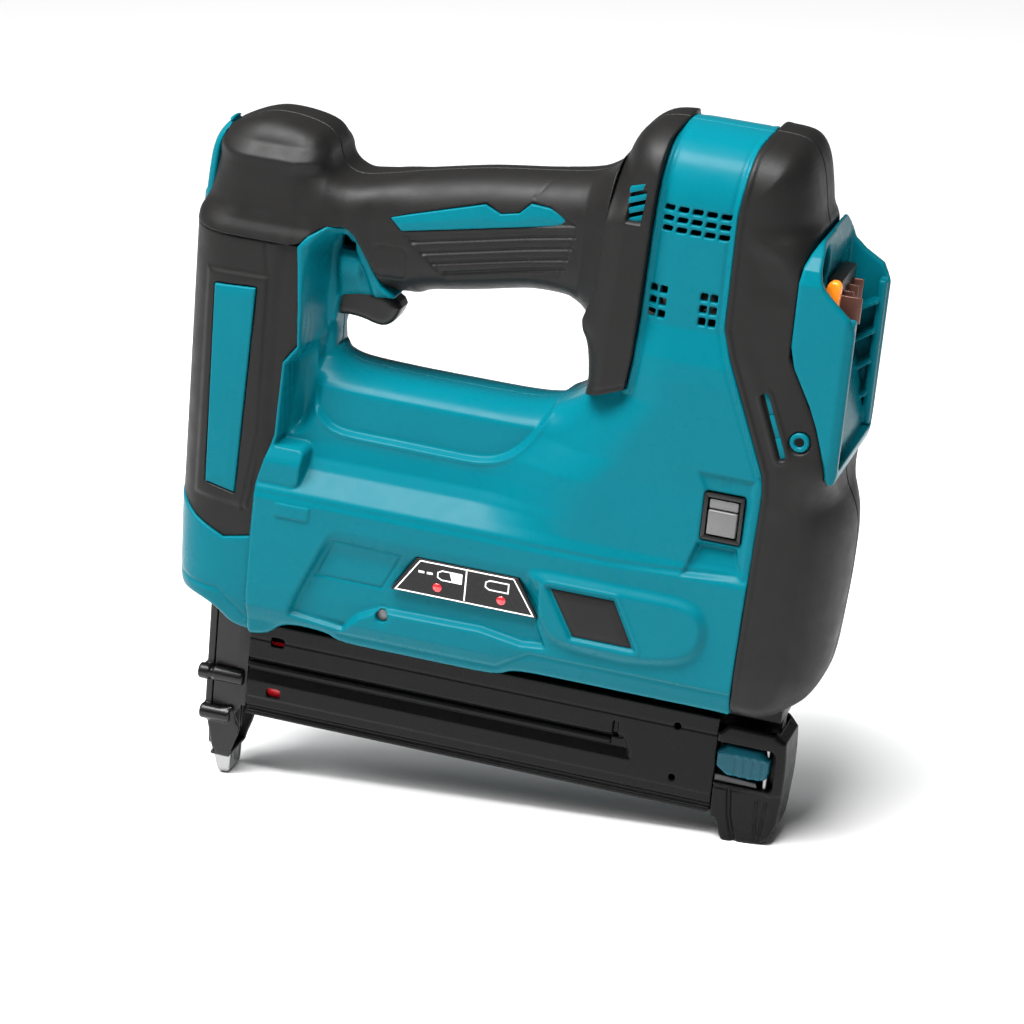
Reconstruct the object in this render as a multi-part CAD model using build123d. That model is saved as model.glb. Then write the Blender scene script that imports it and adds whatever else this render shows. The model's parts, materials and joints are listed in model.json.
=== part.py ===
from build123d import *
from math import atan2, cos, degrees, hypot, pi, radians, sin, sqrt
import os

os.makedirs("parts", exist_ok=True)

# A cordless 18 gauge brad nailer for 50 mm brads, in millimetres.
# Tool frame: origin at the nose tip, z up along the drive line,
# x back along the magazine, y to the tool's right hand side.
BRAD = 50.0
CHANNEL_BOTTOM = 29.0
CHANNEL_TOP = CHANNEL_BOTTOM + BRAD + 0.5
FOOT_X = 208.0
FOOT_Z = 20.0
FLOOR = FOOT_Z / FOOT_X
STAND = degrees(atan2(FOOT_Z, FOOT_X))

WALL = 2.6
BODY_HALF = 34.0
CREST_HALF = 24.0
COLUMN_HALF = 31.0
HANDLE_HALF = 18.0
HEAD_HALF = 28.0
MOUNT_HALF = 31.0
GAP = 0.3

DRIVE_BORE = 15.0
DRIVE_OUTER = 18.0
DRIVE_STROKE = 76.0
PISTON_TOP = 236.4
PISTON_HEIGHT = 16.0
BLADE_TIP_REST = 82.0

GEAR_X = 178.0
GEAR_Z = 145.0
RACK_PINION_R = 10.0
RACK_STROKE = 40.0
RACK_MODULE = 1.0
COMP_BORE = 17.0
COMP_OUTER = 20.4
MOTOR_X = 163.0
MOTOR_Z = 218.0
MOTOR_RADIUS = 24.0
PINION_R = 5.0
IDLER_BIG_R = 31.0
IDLER_SMALL_R = 8.0
LAST_GEAR_R = 32.0

MAG_HALF = 10.0
MAG_BOTTOM = 27.8
MAG_TOP = 66.0
MAG_FRONT = 9.0
MAG_REAR = 196.0
COVER_TRAVEL = 150.0

DIAL = (2.0, 13.4)
HOOK_X = 212.0
HOOK_Z = 186.0
HOOK_HOLE_R = 2.0
HOOK_HOLE_DEPTH = 10.0
RAIL_HALF_GAP = 24.0
TERMINAL_Y = (-3.5, 4.5, 12.5)


def prism(points, y0, y1):
    """A side profile in x and z, drawn out from y0 to y1."""
    face = Face(Wire.make_polygon([Vector(x, y0, z) for x, z in points]))
    return Solid.extrude(face, Vector(0, y1 - y0, 0))


def prism_z(points, z0, z1):
    """A plan profile in x and y, drawn up from z0 to z1."""
    face = Face(Wire.make_polygon([Vector(x, y, z0) for x, y in points]))
    return Solid.extrude(face, Vector(0, 0, z1 - z0))


def prism_x(points, x0, x1):
    """A front profile in y and z, drawn back from x0 to x1."""
    face = Face(Wire.make_polygon([Vector(x0, y, z) for y, z in points]))
    return Solid.extrude(face, Vector(x1 - x0, 0, 0))


def mirrored(half):
    """Both sides of a front profile, from its half widths and heights."""
    return half + [(-a, b) for a, b in reversed(half) if a > 0]


def mirrored_plan(half):
    """Both sides of a plan, from its lengths and half widths."""
    return half + [(a, -b) for a, b in reversed(half) if b > 0]


def box(x0, x1, y0, y1, z0, z1):
    return prism([(x0, z0), (x1, z0), (x1, z1), (x0, z1)], y0, y1)


def rod_y(x, z, r, y0, y1):
    return Solid.make_cylinder(r, y1 - y0, Plane(origin=(x, y0, z), z_dir=(0, 1, 0)))


def rod_z(x, y, r, z0, z1):
    return Solid.make_cylinder(r, z1 - z0, Plane(origin=(x, y, z0), z_dir=(0, 0, 1)))


def rod_x(y, z, r, x0, x1):
    return Solid.make_cylinder(r, x1 - x0, Plane(origin=(x0, y, z), z_dir=(1, 0, 0)))


def strut(a, b, r):
    """A round bar between two points."""
    a = Vector(*a)
    b = Vector(*b)
    return Solid.make_cylinder(r, (b - a).length, Plane(origin=a, z_dir=b - a))


def spring(x, y, z, r, wire, pitch, length, axis):
    """A coil spring that starts at a point and runs along an axis."""
    plane = Plane(origin=(x, y, z), z_dir=axis)
    path = Wire([Edge.make_helix(pitch, length, r)])
    start = path.position_at(0)
    tangent = path.tangent_at(0)
    ring = Face(Wire.make_circle(wire, Plane(origin=start, z_dir=tangent)))
    coil = Solid.sweep(ring, path, is_frenet=True)
    return plane.location * coil


def fuse(first, *rest):
    out = first
    for item in rest:
        out = out + item
    return out


def cut(first, *rest):
    out = first
    for item in rest:
        out = out - item
    return out


def gear(x, z, r, teeth, y0, y1, bore, tooth_at=0.0):
    """A spur gear about an axis along y, with a tooth centred on one angle."""
    points = []
    for i in range(teeth):
        for share, radius in ((0.0, r - 1.1), (0.26, r - 1.1), (0.38, r + 0.75), (0.62, r + 0.75),
            (0.74, r - 1.1)):
            a = tooth_at + 2 * pi * (i + share - 0.5) / teeth
            points.append((x + radius * cos(a), z + radius * sin(a)))
    return prism(points, y0, y1) - rod_y(x, z, bore, y0 - 1, y1 + 1)


# ---------------------------------------------------------------- outlines
GUARD = [
    (-23.0, 222.0), (22.0, 222.0), (25.0, 185.0), (20.0, 178.0), (19.0, 150.0), (14.0, 131.0),
    (13.5, 109.0), (2.0, 106.5), (-10.0, 112.0), (-21.5, 119.0),
]
NOSE_COVER = [
    (-21.5, 119.0), (-10.0, 112.0), (2.0, 106.5), (13.5, 109.0), (13.5, 70.0), (7.0, 70.0),
    (0.0, 77.0), (-7.0, 80.0), (-18.0, 81.0), (-20.5, 90.0),
]
HEAD = [
    (-23.0, 222.0), (-21.4, 246.0), (-19.4, 251.5), (-14.6, 257.4), (-9.0, 260.8), (-1.6, 262.6),
    (9.9, 263.2), (20.0, 261.6), (24.6, 256.8), (27.8, 251.0), (31.2, 247.2), (37.0, 245.6),
    (47.0, 247.4),
    (52.0, 222.0), (56.0, 205.0), (51.0, 209.0), (44.0, 222.0), (39.0, 230.0), (31.0, 230.0),
    (25.0, 226.0), (22.0, 222.0),
]
HANDLE = [
    (47.0, 247.4), (60.0, 250.6), (83.3, 255.6), (106.2, 258.7), (122.5, 261.2), (130.0, 265.0),
    (134.5, 271.0), (133.0, 228.0), (131.0, 215.0), (127.0, 211.5), (120.9, 214.0), (117.4, 215.5),
    (103.5, 214.6), (80.2, 209.2), (66.0, 207.0), (62.0, 204.5), (56.0, 205.0), (52.0, 222.0),
]
COLUMN_COVER = [
    (133.0, 187.0), (131.0, 215.0), (133.0, 228.0), (134.5, 271.0), (137.2, 279.0), (142.0, 284.6),
    (149.0, 287.0), (156.0, 287.0), (152.5, 281.0), (151.0, 262.0), (149.0, 205.0), (147.5, 193.0),
]
TRIGGER_BAY = [
    (25.0, 226.0), (31.0, 230.0), (39.0, 230.0), (44.0, 222.0), (51.0, 209.0), (56.0, 205.0),
    (62.0, 204.5), (66.0, 207.0), (63.0, 201.0), (33.0, 201.0), (24.0, 201.0), (22.0, 222.0),
]
HOUSING = [
    (13.5, 70.0), (13.5, 109.0), (14.0, 131.0), (19.0, 150.0), (20.0, 178.0), (25.0, 185.0),
    (24.0, 201.0), (33.0, 201.0), (33.0, 186.0), (35.0, 178.0), (40.0, 174.5), (62.0, 173.5),
    (102.0, 173.5), (113.0, 174.5), (123.0, 178.0), (133.0, 187.0), (147.5, 193.0), (149.0, 205.0),
    (151.0, 262.0), (152.5, 281.0), (156.0, 287.0), (187.0, 287.0), (183.0, 281.0), (181.0, 262.0),
    (181.0, 222.0), (184.0, 212.0), (200.5, 172.0), (201.5, 165.0), (198.5, 78.0), (118.0, 78.0),
    (111.0, 74.0), (50.0, 74.0), (44.0, 77.5), (28.0, 77.5), (21.0, 70.0),
]
REAR_BUMPER = [
    (198.5, 78.0), (201.5, 165.0), (200.5, 172.0), (184.0, 212.0), (181.0, 222.0), (181.0, 262.0),
    (183.0, 281.0), (187.0, 287.0), (192.0, 287.0), (197.4, 284.0), (201.0, 278.4), (203.4, 269.0),
    (205.4, 260.0), (207.6, 256.4), (205.0, 247.0), (205.0, 216.0), (216.0, 196.0), (221.0, 181.0), (222.5, 172.0),
    (224.5, 165.0), (229.5, 156.0), (231.5, 148.0), (231.3, 129.0), (229.0, 100.0), (226.5, 88.0),
    (219.0, 77.0), (205.0, 76.0),
]
MOUNT = [
    (207.6, 256.4), (210.4, 259.0), (213.6, 259.0), (216.0, 246.0), (226.5, 234.0), (226.0, 172.0),
    (222.5, 172.0), (221.0, 181.0), (216.0, 196.0), (205.0, 216.0), (205.0, 247.0),
]

PLAN_FRONT = mirrored_plan([(-23.0, 0.0), (-22.8, 5.0), (-21.0, 13.0), (-17.8, 18.8), (-13.6, 23.0),
                            (-8.0, 26.0), (8.0, 28.4), (24.0, 29.0), (80.0, 29.0)])
PLAN_HEAD = mirrored_plan([(-23.0, 0.0), (-22.8, 5.0), (-21.0, 13.0), (-17.6, 18.6), (-12.5, 22.8),
                           (-6.0, 25.8), (8.0, 27.6), (20.0, 28.0), (30.0, 25.0), (45.0, 18.5),
                           (60.0, 18.0)])
FRONT_HEAD = mirrored([(28.0, 190.0), (28.0, 222.0), (25.8, 232.0), (25.4, 248.0), (21.5, 255.5),
                       (14.0, 260.5), (6.0, 263.2), (0.0, 263.2)])
FRONT_HANDLE = mirrored([(10.0, 203.0), (16.0, 209.0), (18.0, 220.0), (18.0, 244.0), (15.0, 256.0),
    (8.0, 266.0),
                         (8.0, 272.0)])
FRONT_COLUMN = mirrored([(31.0, 60.0), (31.0, 262.0), (28.5, 275.0), (22.0, 283.0), (12.0, 286.5),
                         (0.0, 287.0)])
FRONT_BODY = mirrored([(24.0, 70.0), (31.0, 78.0), (34.0, 90.0), (34.0, 124.0), (31.5, 131.0),
    (24.0, 137.0),
                       (24.0, 168.0), (19.0, 175.0), (19.0, 202.0)])
FRONT_REAR = mirrored([(21.0, 76.0), (30.0, 82.0), (33.0, 94.0), (33.0, 160.0), (31.0, 175.0),
    (31.0, 262.0), (28.5, 275.0), (22.0, 283.0), (12.0, 287.0)])
PLAN_REAR = mirrored_plan([(170.0, 35.0), (206.0, 35.0), (219.0, 30.0), (228.0, 21.0),
    (231.5, 10.0), (231.5, 0.0)])


def rounded_front(points, profile, x0, x1, half):
    """A side outline limited by a front profile."""
    return prism(points, -half, half) & prism_x(profile, x0, x1)


# ---------------------------------------------------------------- cavities
def cavities():
    """The hollow inside the shells: head, handle, body, column and rear bulge."""
    w = WALL
    head = prism([(-19.0, 100.0), (-19.0, 246.0), (-12.0, 255.0), (-3.0, 258.8), (10.0, 259.8),
                  (19.6, 259.2), (23.2, 255.0), (26.0, 249.8), (28.6, 245.4), (34.0, 243.0),
                  (48.0, 244.2), (48.0, 225.0), (46.0, 224.0),
                  (40.0, 233.0),
                  (28.0, 233.0), (20.0, 224.0), (22.0, 190.0), (29.6, 186.0), (29.6, 110.0),
                  (9.0, 100.0)], -40, 40)
    plan = mirrored_plan([(-20.0, 0.0), (-19.8, 5.0), (-18.2, 11.6), (-15.2, 16.4), (-10.8, 20.2),
                          (-4.0, 23.0), (8.0, 24.4), (18.0, 24.6), (28.0, 22.0), (45.0, 15.2),
                          (60.0, 15.0)])
    head = head & prism_z(plan, 100, 270) & prism_x(
        mirrored([(25.4, 100.0), (25.4, 221.0), (23.0, 231.0), (22.6, 246.0), (19.0, 253.6),
                  (12.5, 258.0), (6.0, 259.8)]), -30, 60)
    handle = prism([(47.9, 244.2), (60.0, 247.6), (84.0, 252.6), (106.0, 255.6), (125.0, 258.4),
        (140.0, 259.0),
                    (140.0, 222.0), (128.0, 218.0), (103.0, 218.0), (80.0, 212.6), (66.0, 211.0),
                    (57.0, 211.0),
                    (52.0, 222.0), (47.9, 228.0)], -14.5, 14.5)
    handle = handle & prism_x(mirrored([(8.0, 206.0), (12.5, 211.0), (14.5, 221.0), (14.5, 243.0),
        (11.0, 253.0),
                                        (6.0, 260.0)]), 40, 150)
    low = prism([(10.0, 84.0), (10.0, 128.0), (15.5, 131.0), (22.0, 150.0), (23.0, 165.0),
        (23.0, 170.5),
                 (112.0, 170.5), (124.0, 174.5), (200.0, 174.5), (228.0, 150.0), (228.3, 129.0),
                 (226.0, 101.0),
                 (221.0, 84.0)], -31.4, 31.4)
    low = low & prism_x(mirrored([(26.0, 84.0), (31.4, 92.0), (31.4, 123.0), (28.5, 129.0),
        (21.4, 134.0),
                                  (21.4, 166.5), (17.5, 172.0)]), 0, 235)
    plan_low = mirrored_plan([(8.0, 25.0), (10.0, 26.0), (30.0, 31.4), (205.0, 31.4),
        (217.0, 27.0), (225.0, 19.0),
                         (228.3, 9.0), (228.3, 0.0)])
    low = low & prism_z(plan_low, 60, 200)
    column = prism([(136.0, 118.0), (136.0, 258.0), (138.4, 270.0), (141.2, 277.0), (146.0, 281.6),
                    (153.0, 284.0), (190.0, 284.0), (195.0, 281.4), (198.4, 276.4), (200.6, 267.0),
                    (201.5, 250.0), (201.5, 215.0),
                    (213.0, 194.0),
                    (218.0, 180.0), (219.0, 168.0), (219.0, 118.0)], -28.2, 28.2)
    column = column & prism_x(mirrored([(28.2, 110.0), (28.2, 261.0), (26.0, 272.0), (20.0, 280.0),
                                        (11.0, 284.0)]),
                              100, 240)
    duct = box(18.5, 26.2, -4.0, 4.0, 140.0, 252.0)
    barrel = rod_z(0, 0, 18.4, 100.0, 246.0)
    nose = prism([(-17.6, 122.0), (-17.6, 86.0), (-13.0, 84.0), (-13.0, 60.0), (10.6, 60.0),
        (10.6, 122.0)], -24, 24)
    nose = nose & prism_z(mirrored_plan([(-20.0, 0.0), (-19.6, 6.0), (-16.8, 14.2), (-12.6, 19.0),
                                         (-6.0, 22.4), (20.0, 23.0)]),
                          50, 130)
    nose = nose - fuse(box(-30, -2, 18.0, 30, 50, 84), box(-30, -2, -30, -18.0, 50, 84))
    slot = box(8.9, 216.0, -8.3, 8.3, 66.0, 84.3) + rod_y(GEAR_X, GEAR_Z, LAST_GEAR_R + 1.2, 12.0, 26.0)
    return head, handle, low, column, duct, barrel, nose, slot


def shells():
    """The outer covers, each a region of one closed skin."""
    caves = cavities()
    guard = prism(GUARD, -40, 40) & prism_z(PLAN_FRONT, 60, 240)
    nose = prism(NOSE_COVER, -40, 40) & prism_z(PLAN_FRONT, 60, 240)
    head = prism(HEAD, -40, 40) & prism_z(PLAN_HEAD, 180, 280) & prism_x(FRONT_HEAD, -30, 70)
    handle = rounded_front(HANDLE, FRONT_HANDLE, 40, 150, 30)
    bay = prism(TRIGGER_BAY, -40, 40) & prism_x(mirrored([(24.0, 195.0), (24.0, 235.0)]), 0, 80)
    bay = bay & prism_z(mirrored_plan([(20.0, 24.0), (34.0, 24.0), (48.0, 16.0), (70.0, 14.0)]),
        190, 240)
    body = rounded_front(HOUSING, FRONT_BODY, 0, 240, 40)
    strip = rounded_front(HOUSING, FRONT_COLUMN, 120, 240, 40)
    strip = strip & prism([(118.0, 175.0), (152.0, 60.0), (240.0, 60.0), (240.0, 300.0),
        (118.0, 300.0)], -40, 40)
    housing = body + strip
    front_cover = rounded_front(COLUMN_COVER, FRONT_COLUMN, 100, 200, 31)
    bumper = prism(REAR_BUMPER, -40, 40) & prism_x(FRONT_REAR, 150, 240) & prism_z(PLAN_REAR, 60, 300)
    out = {}
    for name, solid in (("front_guard", guard), ("nose_cover", nose), ("grip_head", head + handle),
                        ("column_cover", front_cover), ("rear_bumper", bumper),
                        ("housing", housing + bay)):
        for cave in caves:
            solid = solid - cave
        out[name] = solid
    return out


def left(solid):
    return solid & box(-60, 300, -60, 0, -20, 320)


def right(solid):
    return solid & box(-60, 300, 0, 60, -20, 320)


def vents():
    """Louvre slots that go through both sides of the column."""
    tools = []
    for column in range(5):
        for row in range(3):
            x = 154.2 + 5.1 * column
            z = 252.6 + 3.6 * row
            tools.append(box(x, x + 3.4, -60, 60, z, z + 2.3))
    for x0 in (152.2, 155.6, 170.4, 173.8):
        for row in range(3):
            z = 220.8 + 4.4 * row
            tools.append(box(x0, x0 + 2.6, -60, 60, z, z + 3.0))
    return tools


def window_cuts():
    tools = []
    for row in range(3):
        z = 255.2 + 3.5 * row
        tools.append(box(142.6, 147.0, -60, 60, z, z + 2.2))
    return tools


LABEL = [(77.8, 115.7), (117.2, 115.7), (126.0, 101.4), (68.9, 101.4)]
PAD = [(129.1, 115.4), (153.4, 115.4), (162.2, 98.2), (139.2, 98.2)]
NAME_PLATE = [(-8.0, 203.0), (7.6, 204.0), (5.0, 124.5), (-6.5, 127.0)]
INLAY = [(52.8, 236.2), (87.3, 247.0), (93.2, 244.5), (100.0, 246.0), (104.0, 250.2), (111.1, 249.8),
         (122.0, 245.6), (57.3, 231.8)]
# Each housing screw: x, z, how deep its head sits, the side of its head, its cover.
SCREWS = [
    (66.8, 89.9, 30.6, -1, "housing"), (30.0, 94.0, 29.0, 1, "housing"),
    (186.0, 92.0, 30.0, 1, "housing"),
    (139.5, 197.0, 27.4, 1, "column_cover"), (35.0, 240.0, 19.0, 1, "grip_head"),
    (118.0, 236.0, 14.0, 1, "grip_head"), (192.0, 240.0, 27.4, 1, "rear_bumper"),
]


def shell_details(parts):
    """Recesses for the plates, the vents, the trigger bay and the screw bosses."""
    housing = parts["housing"]
    for tool in vents():
        housing = housing - tool
    for side in (-1, 1):
        y0, y1 = sorted((side * 33.0, side * 40.0))
        housing = housing - prism(PAD, y0, y1)
    housing = housing - prism(LABEL, -40.0, -33.0)
    housing = housing - box(180.6, 195.6, -40.0, -20.0, 143.6, 161.4)
    housing = housing - rod_y(TRIGGER_PIVOT[0], TRIGGER_PIVOT[1], 1.5, -10.0, 10.0)
    housing = housing - box(24.5, 62.0, -6.4, 6.4, 196.0, 226.0)
    housing = housing - box(26.6, 70.0, -6.4, 6.4, 190.0, 204.0)
    parts["housing"] = housing
    cover = parts["column_cover"]
    for tool in window_cuts():
        cover = cover - tool
    parts["column_cover"] = cover
    guard = parts["front_guard"]
    for side in (-1, 1):
        y0, y1 = sorted((side * 26.5, side * 40.0))
        guard = guard - prism(NAME_PLATE, y0, y1)
    parts["front_guard"] = guard
    grip = parts["grip_head"]
    for side in (-1, 1):
        y0, y1 = sorted((side * 16.6, side * 40.0))
        grip = grip - prism(INLAY, y0, y1)
    grip = grip - SPINE_SLOT
    grip = grip - box(28.0, 63.0, -6.4, 6.4, 196.0, 232.0)
    parts["grip_head"] = grip
    bumper = parts["rear_bumper"]
    bumper = bumper - prism(MOUNT, -MOUNT_HALF - 5, MOUNT_HALF + 5)
    for side in (-1, 1):
        y0, y1 = sorted((side * 20.0, side * 40.0))
        bumper = bumper - rod_y(HOOK_X, HOOK_Z, 3.9, y0, y1)
        bumper = bumper - prism(HOOK_SLOT, *sorted((side * 29.6, side * 40.0)))
    parts["rear_bumper"] = bumper
    return parts


HOOK_SLOT = [(196.4, 201.4), (199.2, 202.6), (208.6, 179.2), (205.8, 178.0)]
SPINE = [(-23.6, 226.0), (-22.2, 247.0), (-20.0, 252.6), (-15.2, 258.6), (-9.0, 262.4), (-9.0, 259.0),
         (-13.2, 256.0), (-17.8, 249.0), (-20.2, 226.0)]
SPINE_SLOT = prism(SPINE, -9.0, 9.0)


def screw_sets():
    """Housing screws: the head in one side's boss, the thread in the other side's."""
    screws = []
    bosses = []
    holes = []
    for x, z, deep, side, _ in SCREWS:

        def bar(r, a, b):
            return rod_y(x, z, r, *sorted((side * a, side * b)))

        top = sorted((side * (deep - 4.6), side * (deep - 2.0)))
        slot = box(x - 1.6, x + 1.6, top[0], top[1], z - 0.4, z + 0.4)
        cross = box(x - 0.4, x + 0.4, top[0], top[1], z - 1.6, z + 1.6)
        screws.append(cut(bar(1.5, deep - 6.0, -8.0) + bar(3.2, deep - 6.0, deep - 3.0), slot, cross))
        bosses.append((bar(4.6, 0.02, deep + 1.2), bar(4.0, -deep - 1.2, -0.02)))
        holes.append((bar(3.4, deep - 6.02, 60), bar(1.52, -8.0, deep)))
    return screws, bosses, holes


# ---------------------------------------------------------------- power unit
def idler_centre():
    """Where the idler sits so both gear pairs mesh."""
    a = PINION_R + IDLER_BIG_R
    b = IDLER_SMALL_R + LAST_GEAR_R
    dx = GEAR_X - MOTOR_X
    dz = GEAR_Z - MOTOR_Z
    d = hypot(dx, dz)
    along = (a * a - b * b + d * d) / (2 * d)
    off = sqrt(max(a * a - along * along, 0))
    return (MOTOR_X + along * dx / d - off * dz / d, MOTOR_Z + along * dz / d + off * dx / d)


IDLER_X, IDLER_Z = idler_centre()
FIRST_MESH = atan2(IDLER_Z - MOTOR_Z, IDLER_X - MOTOR_X)
SECOND_MESH = atan2(GEAR_Z - IDLER_Z, GEAR_X - IDLER_X)


def motor_can():
    body = rod_y(MOTOR_X, MOTOR_Z, MOTOR_RADIUS, -20.0, 9.0)
    inner = rod_y(MOTOR_X, MOTOR_Z, 18.4, -18.0, 7.4)
    out = cut(body, inner, rod_y(MOTOR_X, MOTOR_Z, 5.2, -30, 20))
    for i in range(6):
        a = 2 * pi * i / 6 + 0.3
        x = MOTOR_X + 13.0 * cos(a)
        z = MOTOR_Z + 13.0 * sin(a)
        out = out - rod_y(x, z, 2.6, -30, -17)
        out = out - rod_y(x, z, 2.6, 7, 20)
    for a in (0.4, 1.9, 4.6):
        out = out + (rod_y(MOTOR_X + 26.0 * cos(a), MOTOR_Z + 26.0 * sin(a), 3.4, 3.0, 9.0)
                     - rod_y(MOTOR_X, MOTOR_Z, 20.0, -30, 20))
    return out


def rotor():
    core = rod_y(MOTOR_X, MOTOR_Z, 17.6, -15.0, 5.0)
    for i in range(8):
        a = 2 * pi * i / 8
        core = core - rod_y(MOTOR_X + 17.0 * cos(a), MOTOR_Z + 17.0 * sin(a), 2.0, -30, 20)
    shaft = rod_y(MOTOR_X, MOTOR_Z, 2.5, -27.0, 21.0)
    return core + shaft


def pinion():
    return gear(MOTOR_X, MOTOR_Z, PINION_R, 10, 12.4, 20.5, 2.5, FIRST_MESH)


def fan():
    hub = rod_y(MOTOR_X, MOTOR_Z, 6.0, -26.4, -22.0)
    disc = rod_y(MOTOR_X, MOTOR_Z, 21.0, -22.6, -21.2)
    out = hub + disc
    for i in range(9):
        a = 2 * pi * i / 9
        blade = box(5.0, 20.5, -26.2, -22.4, -0.6, 0.6).rotate(Axis.Y, degrees(a))
        out = out + blade.translate((MOTOR_X, 0, MOTOR_Z))
    return out - rod_y(MOTOR_X, MOTOR_Z, 2.5, -40, 40)


def idler():
    big = gear(IDLER_X, IDLER_Z, IDLER_BIG_R, 62, 13.0, 18.0, 3.0, FIRST_MESH + pi + pi / 62)
    small = gear(IDLER_X, IDLER_Z, IDLER_SMALL_R, 16, 18.0, 25.5, 3.0, SECOND_MESH)
    out = big + small
    for i in range(6):
        a = 2 * pi * i / 6
        out = out - rod_y(IDLER_X + 20.5 * cos(a), IDLER_Z + 20.5 * sin(a), 5.0, 0, 30)
    return out


def last_gear():
    wheel = gear(GEAR_X, GEAR_Z, LAST_GEAR_R, 64, 19.5, 25.0, 5.0, SECOND_MESH + pi + pi / 64)
    for i in range(5):
        a = 2 * pi * (i + 0.5) / 5
        wheel = wheel - rod_y(GEAR_X + 20.5 * cos(a), GEAR_Z + 20.5 * sin(a), 5.4, 0, 30)
    return wheel


def drive_shaft():
    """The last gear's shaft, with the small pinion that moves the rack."""
    shaft = rod_y(GEAR_X, GEAR_Z, 5.0, 4.0, 27.6)
    tip = rod_y(GEAR_X, GEAR_Z, 3.0, -8.0, -4.5)
    return fuse(shaft, tip, gear(GEAR_X, GEAR_Z, RACK_PINION_R, 20, -4.6, 4.6, 0.01, -pi / 2))


def piston_rack():
    """The toothed bar that pushes the compressor piston."""
    top = GEAR_Z - RACK_PINION_R
    points = [(PISTON_REAR, top - 6.0), (GEAR_X + RACK_STROKE + 6.0, top - 6.0)]
    pitch = pi * RACK_MODULE
    teeth = int((RACK_STROKE + 10.0) / pitch) + 1
    start = GEAR_X + pitch / 2 - 2 * pitch
    ridge = []
    for i in range(teeth):
        x = start + pitch * i
        ridge += [(x - 0.74, top - 1.15), (x - 0.34, top + 0.75), (x + 0.34, top + 0.75),
            (x + 0.74, top - 1.15)]
    points.append((GEAR_X + RACK_STROKE + 6.0, top - 1.15))
    points += list(reversed(ridge))
    points += [(start - 2.0, top - 1.15), (start - 4.0, top + 0.6), (PISTON_REAR, top + 0.6)]
    return prism(points, -4.0, 4.0)


PISTON_REAR = 142.0
PISTON_LENGTH = 24.0


def compressor_piston():
    front = PISTON_REAR - PISTON_LENGTH
    body = rod_x(0, GEAR_Z, COMP_BORE - 0.05, front, PISTON_REAR)
    hollow = rod_x(0, GEAR_Z, COMP_BORE - 3.0, front + 5.0, PISTON_REAR + 1)
    ring = cut(rod_x(0, GEAR_Z, COMP_BORE + 1, front + 4.0, front + 6.0),
               rod_x(0, GEAR_Z, COMP_BORE - 1.6, front, front + 8))
    foot = box(front + 3.0, PISTON_REAR, -4.0, 4.0, GEAR_Z - 16.0, GEAR_Z - 9.0)
    return cut(body, hollow, ring) + (foot & rod_x(0, GEAR_Z, COMP_BORE - 0.05, 0, 200))


def compressor_cylinder():
    crown = PISTON_REAR - PISTON_LENGTH - RACK_STROKE - 1.0
    tube = rod_x(0, GEAR_Z, COMP_OUTER, crown - 7.0, 144.0)
    bore = rod_x(0, GEAR_Z, COMP_BORE, crown, 151.0)
    out = cut(tube, bore, rod_x(0, GEAR_Z + 6.0, 2.5, crown - 8, crown + 1))
    for x in range(int(crown) + 3, 140, 6):
        fin = cut(rod_x(0, GEAR_Z, COMP_OUTER + 0.1, x, x + 2.6),
            rod_x(0, GEAR_Z, COMP_OUTER - 1.4, x - 1, x + 4))
        out = out - fin
    for side in (-1, 1):
        y0, y1 = sorted((side * 10.0, side * 17.0))
        out = out + cut(box(88, 134, y0, y1, 118.0, GEAR_Z - 11.0),
            rod_x(0, GEAR_Z, COMP_BORE, 60, 151))
    return out


def rack_guide():
    """The channel the rack slides in, under its pinion."""
    top = GEAR_Z - RACK_PINION_R - 6.0
    out = box(150.0, 222.0, -7.0, 7.0, top - 4.6, top - 0.1)
    for side in (-1, 1):
        y0, y1 = sorted((side * 4.1, side * 7.0))
        out = out + box(150.0, 222.0, y0, y1, top - 0.1, top + 3.4)
    return out + box(156.0, 200.0, 5.0, 11.0, top - 4.6, top - 2.0)


def gear_frame():
    """The two plates that carry the gear axles, with the rack's channel joined on."""
    outline = [(146.5, 233.0), (146.5, 192.0), (146.5, 160.0), (146.0, 109.0), (204.0, 109.0),
               (208.0, 150.0), (204.0, 184.0), (195.0, 210.0), (187.0, 233.0)]
    back = prism(outline, 26.2, 28.2)
    front = cut(prism(outline, 10.2, 12.0), rod_y(MOTOR_X, MOTOR_Z, 6.0, 0, 30),
        rod_y(GEAR_X, GEAR_Z, 5.04, 0, 30))
    back = cut(back, rod_y(GEAR_X, GEAR_Z, 5.04, 0, 30))
    posts = []
    for x, z in ((150.0, 112.6), (201.0, 112.6), (149.2, 230.4), (184.6, 230.4)):
        posts.append(rod_y(x, z, 1.45, 12.0, 26.2))
    axle = rod_y(IDLER_X, IDLER_Z, 2.96, 12.0, 26.2)
    return fuse(back, front, axle, rack_guide(), *posts)


# ---------------------------------------------------------------- drive unit
def drive_cylinder():
    tube = rod_z(0, 0, DRIVE_OUTER, 114.0, 244.0) - rod_z(0, 0, DRIVE_BORE, 118.0, 251.0)
    out = tube - rod_z(0, 0, 4.2, 110.0, 120.0)
    for i in range(6):
        a = 2 * pi * i / 6
        out = out - strut((12 * cos(a), 12 * sin(a), 150), (22 * cos(a), 22 * sin(a), 150), 1.6)
    return out


def cylinder_head():
    out = rod_z(0, 0, 16.0, 244.0, 250.6) - rod_z(0, 0, 10.0, 243.0, 247.0)
    out = out + box(10.0, 25.3, -4.8, 4.8, 244.0, 249.6)
    out = out - rod_x(0, 247.0, 1.8, 8.0, 23.0)
    out = out - rod_z(22.4, 0, 1.8, 243.0, 247.0)
    for y in (-12.0, 12.0):
        out = out - rod_z(-2.0, y, 1.6, 243.0, 252.0)
    return out


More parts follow.
